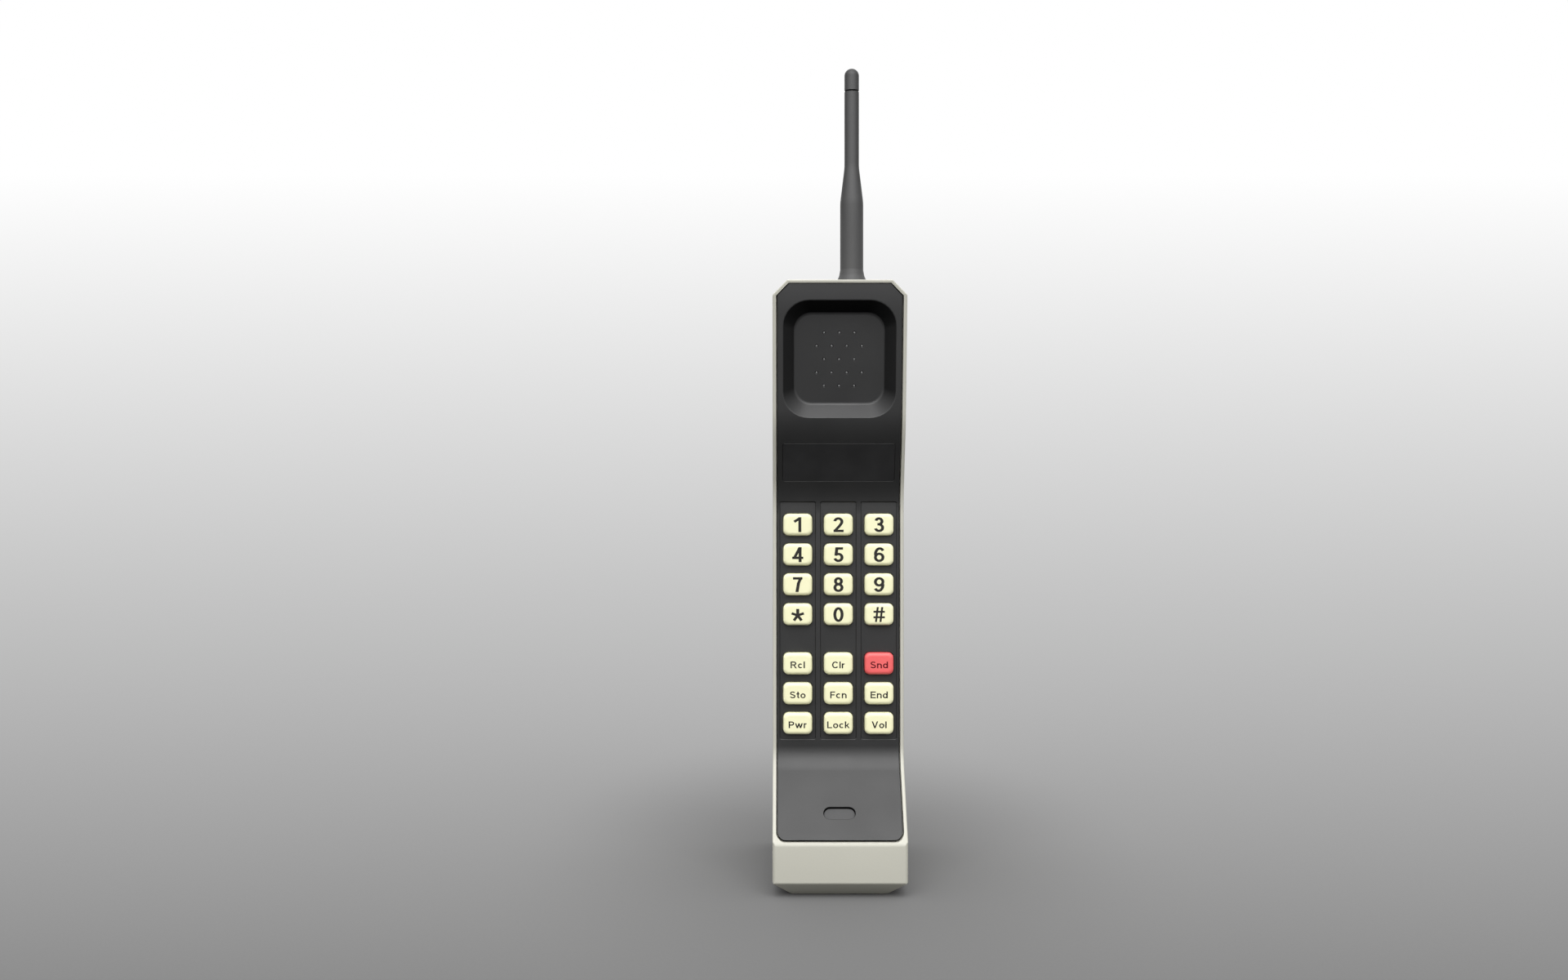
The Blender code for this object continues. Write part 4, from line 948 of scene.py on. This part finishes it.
def make_ear_mesh():
    """The pale mesh behind the earpiece, drawn up into a small dome in each hole."""
    floor = -PANEL_SUNK - EAR_DEEP
    front = floor - MESH_SUNK
    mesh = place("ear_mesh", turned(cylinder(MESH_R, front - 0.4, front), 48), ear_frame)
    r, top = EAR_HOLE_R - 0.05, floor - 0.04
    profile = [(0, front - 0.2), (r, front - 0.2)]
    profile += [(r * (1 - across), top - r * down) for across, down in quarter(6)]
    domes = merged([turned(profile, 16, spot) for spot in ear_holes()])
    cut(mesh, "UNION", domes, ear_frame)
    dress(mesh, ear_cloth_look, "screen_cloth", "phone", "earpiece_mesh")


def make_window():
    """The smoked lens of the display, flush in its opening, with an eased edge."""
    top = -PANEL_SUNK + 0.02
    levels = [(WINDOW_WIDE, WINDOW_TALL, LENS_CORNER, top - WINDOW_THICK)]
    for across, down in quarter(4):
        inset = LENS_EASE * across
        size = (WINDOW_WIDE - 2 * inset, WINDOW_TALL - 2 * inset, LENS_CORNER - inset / 2)
        levels.append((*size, top - LENS_EASE * down))
    lens = place("window_lens", pads(levels, 6), window_frame)
    dress(lens, lens_look, "window", "phone", "display_window")


# ---- soft and sprung pieces
def make_mat():
    """The silicone mat: a sheet with locating holes, and a dome under each key."""
    low, high = box("keypad_mat")
    front = high.y - MAT_SHEET
    sheet = place("mat_sheet", block((low.x, high.x), (front, high.y), (low.z, high.z)))
    ease(sheet, 0.25, 3, corners_over(30))
    pins = [(x, z) for x in (low.x + 2.2, high.x - 2.2) for z in (low.z + 2.2, high.z - 2.2)]
    carve(sheet, merged([rod_y(0.8, front - 1, high.y + 1, pin) for pin in pins]))
    dress(sheet, mat_look, "keypad_mat", "phone", "keypad_mat")

    tall = front - low.y
    profile = [(0, DOME_FOOT), (3.0, DOME_FOOT), (3.0, 0.1), (2.85, 0.2 * tall), (2.3, 0.7 * tall)]
    profile += [(2.05, 0.93 * tall), (1.9, tall), (0, tall)]
    points, faces = turned(profile, 32)
    for node in KEYS:
        spot = middle(node)
        web = [(x + spot.x, front - h, y + spot.z) for x, y, h in points], faces
        dome = place(node.replace("key_", "dome_"), web)
        dress(dome, mat_look, "keypad_mat", "phone")
        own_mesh(dome)


def make_spring():
    """The latch's coil spring, in round wire with closed ends."""
    low, high = box("latch_spring")
    spot = middle("latch_spring")
    wire, turns, steps, sides = 0.3, 4, 28, 10
    radius = (high.x - low.x) / 2 - wire
    first, last = low.y + wire, high.y - wire
    section = [2 * math.pi * j / sides for j in range(sides)]
    loops = []
    for k in range(turns * steps + 1):
        angle = 2 * math.pi * k / steps
        y = first + (last - first) * k / (turns * steps)
        ring = [(radius + wire * math.cos(a), y + wire * math.sin(a)) for a in section]
        loops.append([(spot.x + r * math.cos(angle), d, spot.z + r * math.sin(angle)) for r, d in ring])
    spring = place("latch_coil", loft(loops))
    dress(spring, steel_look, "spring_steel", "phone", "latch_spring")
    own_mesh(spring)


# ---- antenna
WHIP_THICK_R, WHIP_THIN_R, TAPER_FOOT, TAPER_TOP = 4.1, 2.58, 235.8, 248.3
TIP_SEAM = 0.12  # the bevel of the seam between the sheath and its cap
COIL_ROOM_R, COIL_ROOM_TOP, FERRULE_ROOM_R = 1.6, 223.0, 2.5
SOCKET_FOOT, SOCKET_BORE_R, SOCKET_BARREL_R = 196.5, 3.2, 4.4


def make_antenna():
    """The rubber sheath and its tip cap, turned finely, with soft shoulders."""
    low, high = box("antenna_sheath")
    axis = ((low.x + high.x) / 2, (low.y + high.y) / 2)
    flare, foot, end = (high.x - low.x) / 2, low.z, high.z
    outer = [
        (flare - 0.25, foot),
        (flare, foot + 0.3),
        (flare, foot + 1.0),
        (WHIP_THICK_R + 0.35, foot + 4.2),
        (WHIP_THICK_R, foot + 6.2),
        (WHIP_THICK_R, TAPER_FOOT),
        (WHIP_THIN_R, TAPER_TOP),
        (WHIP_THIN_R, end - TIP_SEAM),
        (WHIP_THIN_R - TIP_SEAM, end),
    ]
    run = bent(outer, [0, 0, 0.8, 5.0, 1.5, 22.0, 22.0, 0, 0], 8)
    skirt = foot + 1.9
    inside = [(COIL_ROOM_R, end), (COIL_ROOM_R, COIL_ROOM_TOP), (FERRULE_ROOM_R, COIL_ROOM_TOP - 1)]
    inside += [(FERRULE_ROOM_R, skirt), (flare - 0.5, skirt)]
    sheath = turned([*run, *inside], 64, axis)
    dress(place("whip_sheath", sheath), rubber_look, "rubber", "antenna", "antenna_sheath")

    low, high = box("antenna_tip_cap")
    r, seam = (high.x - low.x) / 2, end + 0.4
    cap = [(0, low.z), (1.2, low.z), (1.2, seam), (r - TIP_SEAM, seam), (r, seam + TIP_SEAM)]
    cap += [(r * (1 - across), high.z - r * down) for across, down in quarter(16)]
    tip = turned(cap, 64, axis)
    dress(place("whip_tip", tip), rubber_look, "rubber", "antenna", "antenna_tip_cap")

    low, high = box("antenna_washer")
    r = (high.x - low.x) / 2
    ring = [(3.5, low.z), (r - 0.15, low.z), (r, low.z + 0.2), (r, high.z - 0.2), (r - 0.15, high.z)]
    washer = turned([*ring, (3.5, high.z)], 64, axis)
    dress(place("whip_washer", washer), rubber_look, "rubber", "antenna_lift", "antenna_washer")

    low, high = box("antenna_socket")
    r, shelf = (high.x - low.x) / 2, HEIGHT + 0.1
    bore = [(SOCKET_BORE_R, high.z), (SOCKET_BORE_R, SOCKET_FOOT), (0, SOCKET_FOOT)]
    barrel = [(0, low.z), (SOCKET_BARREL_R, low.z), (SOCKET_BARREL_R, shelf)]
    collar = [(r, shelf), (r, high.z - 0.45), (r - 0.13, high.z - 0.13), (r - 0.45, high.z)]
    socket = turned([*bore, *barrel, *collar], 64, axis)
    dress(place("whip_socket", socket), brass_look, "brass", "phone", "antenna_socket")


# ---- battery pack
GROOVES, GROOVE_PITCH, GROOVES_FROM = 6, 4.0, 134.7  # the first one's height above the pack's foot
GROOVE_WIDE, GROOVE_TALL = 30.0, 1.4
PACK_CHAMFER, PACK_RIM = 6.0, 1.5


def make_pack():
    """The pack's tub: eased edges, a bevelled shoulder, and finger grooves across the back."""
    low, high = box("battery_case")
    face, foot, top = low.y, low.z, high.z
    side = [(face, foot), (BACK - PACK_RIM, foot), (BACK, foot + PACK_RIM), (BACK, top - PACK_CHAMFER)]
    side += [(BACK - PACK_CHAMFER, top), (face, top)]
    case = place("pack_case", along_x(side, -HALF, HALF))
    ease(case, 0.5, 4, corners_over(20))
    lip, room_chamfer = box("battery_cover")[1].y + GAP, PACK_CHAMFER + 1
    room = [(10, foot - 5), (lip, foot - 5), (lip, foot + WALL), (BACK - WALL, foot + WALL)]
    room += [(BACK - WALL, top - room_chamfer), (BACK - room_chamfer, top - WALL)]
    room += [(lip, top - WALL), (lip, top + 5), (10, top + 5)]
    carve(case, along_x(room, -INNER, INNER))
    points, faces = flared(GROOVE_WIDE, GROOVE_TALL, GROOVE_TALL / 2 - CLEAR, -0.7, 0.0, 0.25)
    groove = [(x, BACK + h, y + foot + GROOVES_FROM) for x, y, h in points], faces
    grooves = [moved(groove, (0, 0, GROOVE_PITCH * k)) for k in range(GROOVES)]
    carve(case, merged(grooves))
    dress(case, shell_look, "casing", "battery_pack", "battery_case")


# ---- nodes that keep their CAD mesh
FINISHES = [  # the look, the slot, the rounding of the edges, and the nodes
    (fascia_look, "back_plate", 0.15, ["back_plate"]),
    (fascia_look, "battery_cover", 0.2, ["battery_cover"]),
    (fascia_look, "latch", 0.2, ["battery_latch"]),
    (fascia_look, "back_plate", 0.1, ["accessory_socket"]),
    (steel_look, "steel", 0.1, [*SCREWS, "earpiece_speaker"]),
    (circuit_look, "circuit_board", 0.1, ["display_module", "keypad_board", "main_board"]),
    (cloth_look, "screen_cloth", 0.1, ["microphone_screen"]),
    (rubber_look, "rubber", 0.15, ["microphone_boot"]),
    (tin_look, "tin", 0.1, ["microphone"]),
    (tin_look, "tin", 0.15, ["rf_shield"]),
    (chassis_look, "chassis", 0.1, ["chassis_plate"]),
    (filter_look, "filter", 0.2, ["duplexer"]),
    (ribbon_look, "ribbon", 0.05, ["ribbon_cable"]),
    (rubber_look, "rubber", 0.0, ["coax_lead"]),
    (brass_look, "brass", 0.1, ["antenna_ferrule"]),
    (copper_look, "copper", 0.0, ["antenna_coil"]),
    (cell_look, "cell_wrap", 0.0, ["cell_stick_left", "cell_stick_right"]),
    (gold_look, "gold", 0.08, ["contact_pad_positive", "contact_pad_negative"]),
    (gold_look, "gold", 0.05, ["contact_spring_positive", "contact_spring_negative"]),
]


def finish_node(node, look, width):
    """Welds a CAD node's triangles, joins its flat faces, rounds its edges and shades it."""
    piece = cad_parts[node]
    mesh = piece.data
    mesh.materials.clear()
    mesh.materials.append(look)
    if "custom_normal" in mesh.attributes:
        mesh.attributes.remove(mesh.attributes["custom_normal"])
    mesh.shade_smooth()
    weld = piece.modifiers.new("weld", "WELD")
    weld.merge_threshold = 0.0005 * MM
    flat = piece.modifiers.new("flat", "DECIMATE")
    flat.decimate_type = "DISSOLVE"
    flat.angle_limit = math.radians(0.5)
    if width:
        rounding = piece.modifiers.new("rounding", "BEVEL")
        rounding.width = width * MM
        rounding.segments = 2
        rounding.limit_method = "ANGLE"
        rounding.angle_limit = math.radians(30)
    fair = piece.modifiers.new("fair", "WEIGHTED_NORMAL")
    fair.weight = 80


# ---- stage, light and camera
DOME_LOW, DOME_HIGH, DOME_SIDE = 1.8, 1.95, 0.55  # its brightness low and high, and its fall to the sides
DOME_HORIZON = 0.6  # the share of it left just above the horizon
LAMP_STRENGTH, LAMP_UP, LAMP_WIDE = 2.4, 48.0, 58.0
DOME_ON_FLOOR = 1.54  # what the dome gives the floor
FLOOR_LIGHT = DOME_ON_FLOOR + LAMP_STRENGTH / math.pi * math.sin(math.radians(LAMP_UP))
BOUNCE_NEAR, BOUNCE_MID, BOUNCE_FAR = 0.13, 0.04, 0.32  # the share of light the floor sends back, going out
FLOOR_GRAIN, FLOOR_REACH, FLOOR_DEEP = 0.9, 60000.0, 20.0
FADE_FROM, FADE_TO = 0.7, 1.6  # where the floor runs into the backdrop, in metres from the phone
SHADOW_AHEAD, SHADOW_LONG = -0.027, 0.45  # the painted soft shadow's centre, in metres, and its squeeze along Y
SHADOW_FROM, SHADOW_TO, SHADOW_DEEPEST = 0.01, 0.125, 0.78
TONE_FOOT, TONE_RISE = 0.557, 0.539  # the backdrop's display tone at the picture's foot, and its rise


def backdrop(g):
    """The studio gradient, by height in the picture: white at the top, mid grey at the foot."""
    up = g.split(g.add("ShaderNodeTexCoord").outputs["Window"])["Y"]
    shown = g.math("ADD", g.math("MULTIPLY", up, TONE_RISE), TONE_FOOT, True)
    lifted = g.math("DIVIDE", g.math("ADD", shown, 0.055), 1.055)  # sRGB's curve, from display to light
    return g.math("POWER", lifted, 2.4)


def make_floor():
    made, g = new_material("studio_floor")
    seen = g.add("ShaderNodeLightPath").outputs["Is Camera Ray"]
    fine = g.spread(g.noise(FLOOR_GRAIN, 2.0), 0.985, 1.015, 0.3, 0.7)
    spot = g.add("ShaderNodeNewGeometry").outputs["Position"]
    away = g.add("ShaderNodeVectorMath", {0: spot}, operation="LENGTH").outputs["Value"]
    # painted shadow: the floor's tone darkens in a soft ellipse round the phone's foot
    drawn_in = {"Vector": spot, "Location": (0, SHADOW_AHEAD, 0), "Scale": (1.0, SHADOW_LONG, 1.0)}
    centred = g.add("ShaderNodeMapping", drawn_in).outputs[0]
    near = g.add("ShaderNodeVectorMath", {0: centred}, operation="LENGTH").outputs["Value"]
    inputs = {"Value": near, "From Min": SHADOW_FROM, "From Max": SHADOW_TO, "To Min": SHADOW_DEEPEST}
    painted_shadow = g.add("ShaderNodeMapRange", inputs, interpolation_type="SMOOTHSTEP").outputs[0]
    tone = g.math("MULTIPLY", g.math("DIVIDE", backdrop(g), FLOOR_LIGHT), g.math("MULTIPLY", fine, painted_shadow))
    bounce = g.spread(near, BOUNCE_NEAR, BOUNCE_MID, 0.05, 0.12)
    bounce = g.math("ADD", bounce, g.spread(away, 0.0, BOUNCE_FAR - BOUNCE_MID, 0.6, 1.3))
    shade = g.mix(seen, bounce, tone)
    paint = g.add("ShaderNodeBsdfDiffuse", {"Color": shade})
    glow = g.add("ShaderNodeEmission", {"Color": (1, 1, 1, 1), "Strength": backdrop(g)})
    fade = g.math("MULTIPLY", g.spread(away, 0.0, 1.0, FADE_FROM, FADE_TO), seen)
    both = g.add("ShaderNodeMixShader", {0: fade, 1: paint.outputs[0], 2: glow.outputs[0]})
    g.add("ShaderNodeOutputMaterial", {"Surface": both.outputs[0]})
    across = (-FLOOR_REACH, FLOOR_REACH)
    floor = place("studio_floor", block(across, across, (-FLOOR_DEEP, 0.0)))
    floor.data.materials.append(made)


def make_light():
    """A white dome, brightest overhead and dimmer at the sides, and one broad soft light from the front."""
    world = bpy.data.worlds.new("studio")
    bpy.context.scene.world = world
    world.use_nodes = True
    g = Graph(world.node_tree)
    x, _, up = g.split(g.add("ShaderNodeTexCoord").outputs["Generated"])
    sides = g.math("POWER", g.math("ABSOLUTE", x), 1.5)
    level = g.math("MULTIPLY", g.spread(up, DOME_LOW, DOME_HIGH), g.spread(sides, 1.0, 1.0 - DOME_SIDE))
    level = g.math("MULTIPLY", level, g.spread(up, DOME_HORIZON, 1.0, 0.0, 0.3))
    dome = g.math("MULTIPLY", g.spread(up, 0.0, 1.0, -0.02, 0.02), level)
    lit = g.add("ShaderNodeBackground", {"Color": (1, 1, 1, 1), "Strength": dome})
    shown = g.add("ShaderNodeBackground", {"Color": (1, 1, 1, 1), "Strength": backdrop(g)})
    seen = g.add("ShaderNodeLightPath").outputs["Is Camera Ray"]
    both = g.add("ShaderNodeMixShader", {0: seen, 1: lit.outputs[0], 2: shown.outputs[0]})
    g.add("ShaderNodeOutputWorld", {"Surface": both.outputs[0]})

    lamp = bpy.data.lights.new("front_soft", "SUN")
    lamp.energy = LAMP_STRENGTH
    lamp.angle = math.radians(LAMP_WIDE)
    sun = add_object("front_soft", lamp)
    sun.rotation_euler = (math.radians(90 - LAMP_UP), 0, 0)


CAMERA_LENS = 39.36
CAMERA_SPOT = (-18.45, FRONT - 561.2, 133.75)
SENSOR_WIDE = 36.0


def make_camera():
    """Level, straight on, and to the left of the phone, so that the phone stands right of centre."""
    lens = bpy.data.cameras.new("camera")
    lens.lens = CAMERA_LENS
    lens.sensor_width = SENSOR_WIDE
    lens.clip_start, lens.clip_end = 0.01, 200.0
    camera = add_object("camera", lens)
    camera.location = Vector(CAMERA_SPOT) * MM
    camera.rotation_euler = (math.pi / 2, 0, 0)
    bpy.context.scene.camera = camera
    bpy.context.scene.view_settings.view_transform = "Standard"


make_shell()
make_fascia()
make_keys()
make_ear_mesh()
make_window()
make_mat()
make_spring()
make_antenna()
make_pack()
for look, slot, rounding, nodes in FINISHES:
    for node in nodes:
        finish_node(node, look, rounding)
make_floor()
make_light()
make_camera()

bpy.context.view_layer.update()
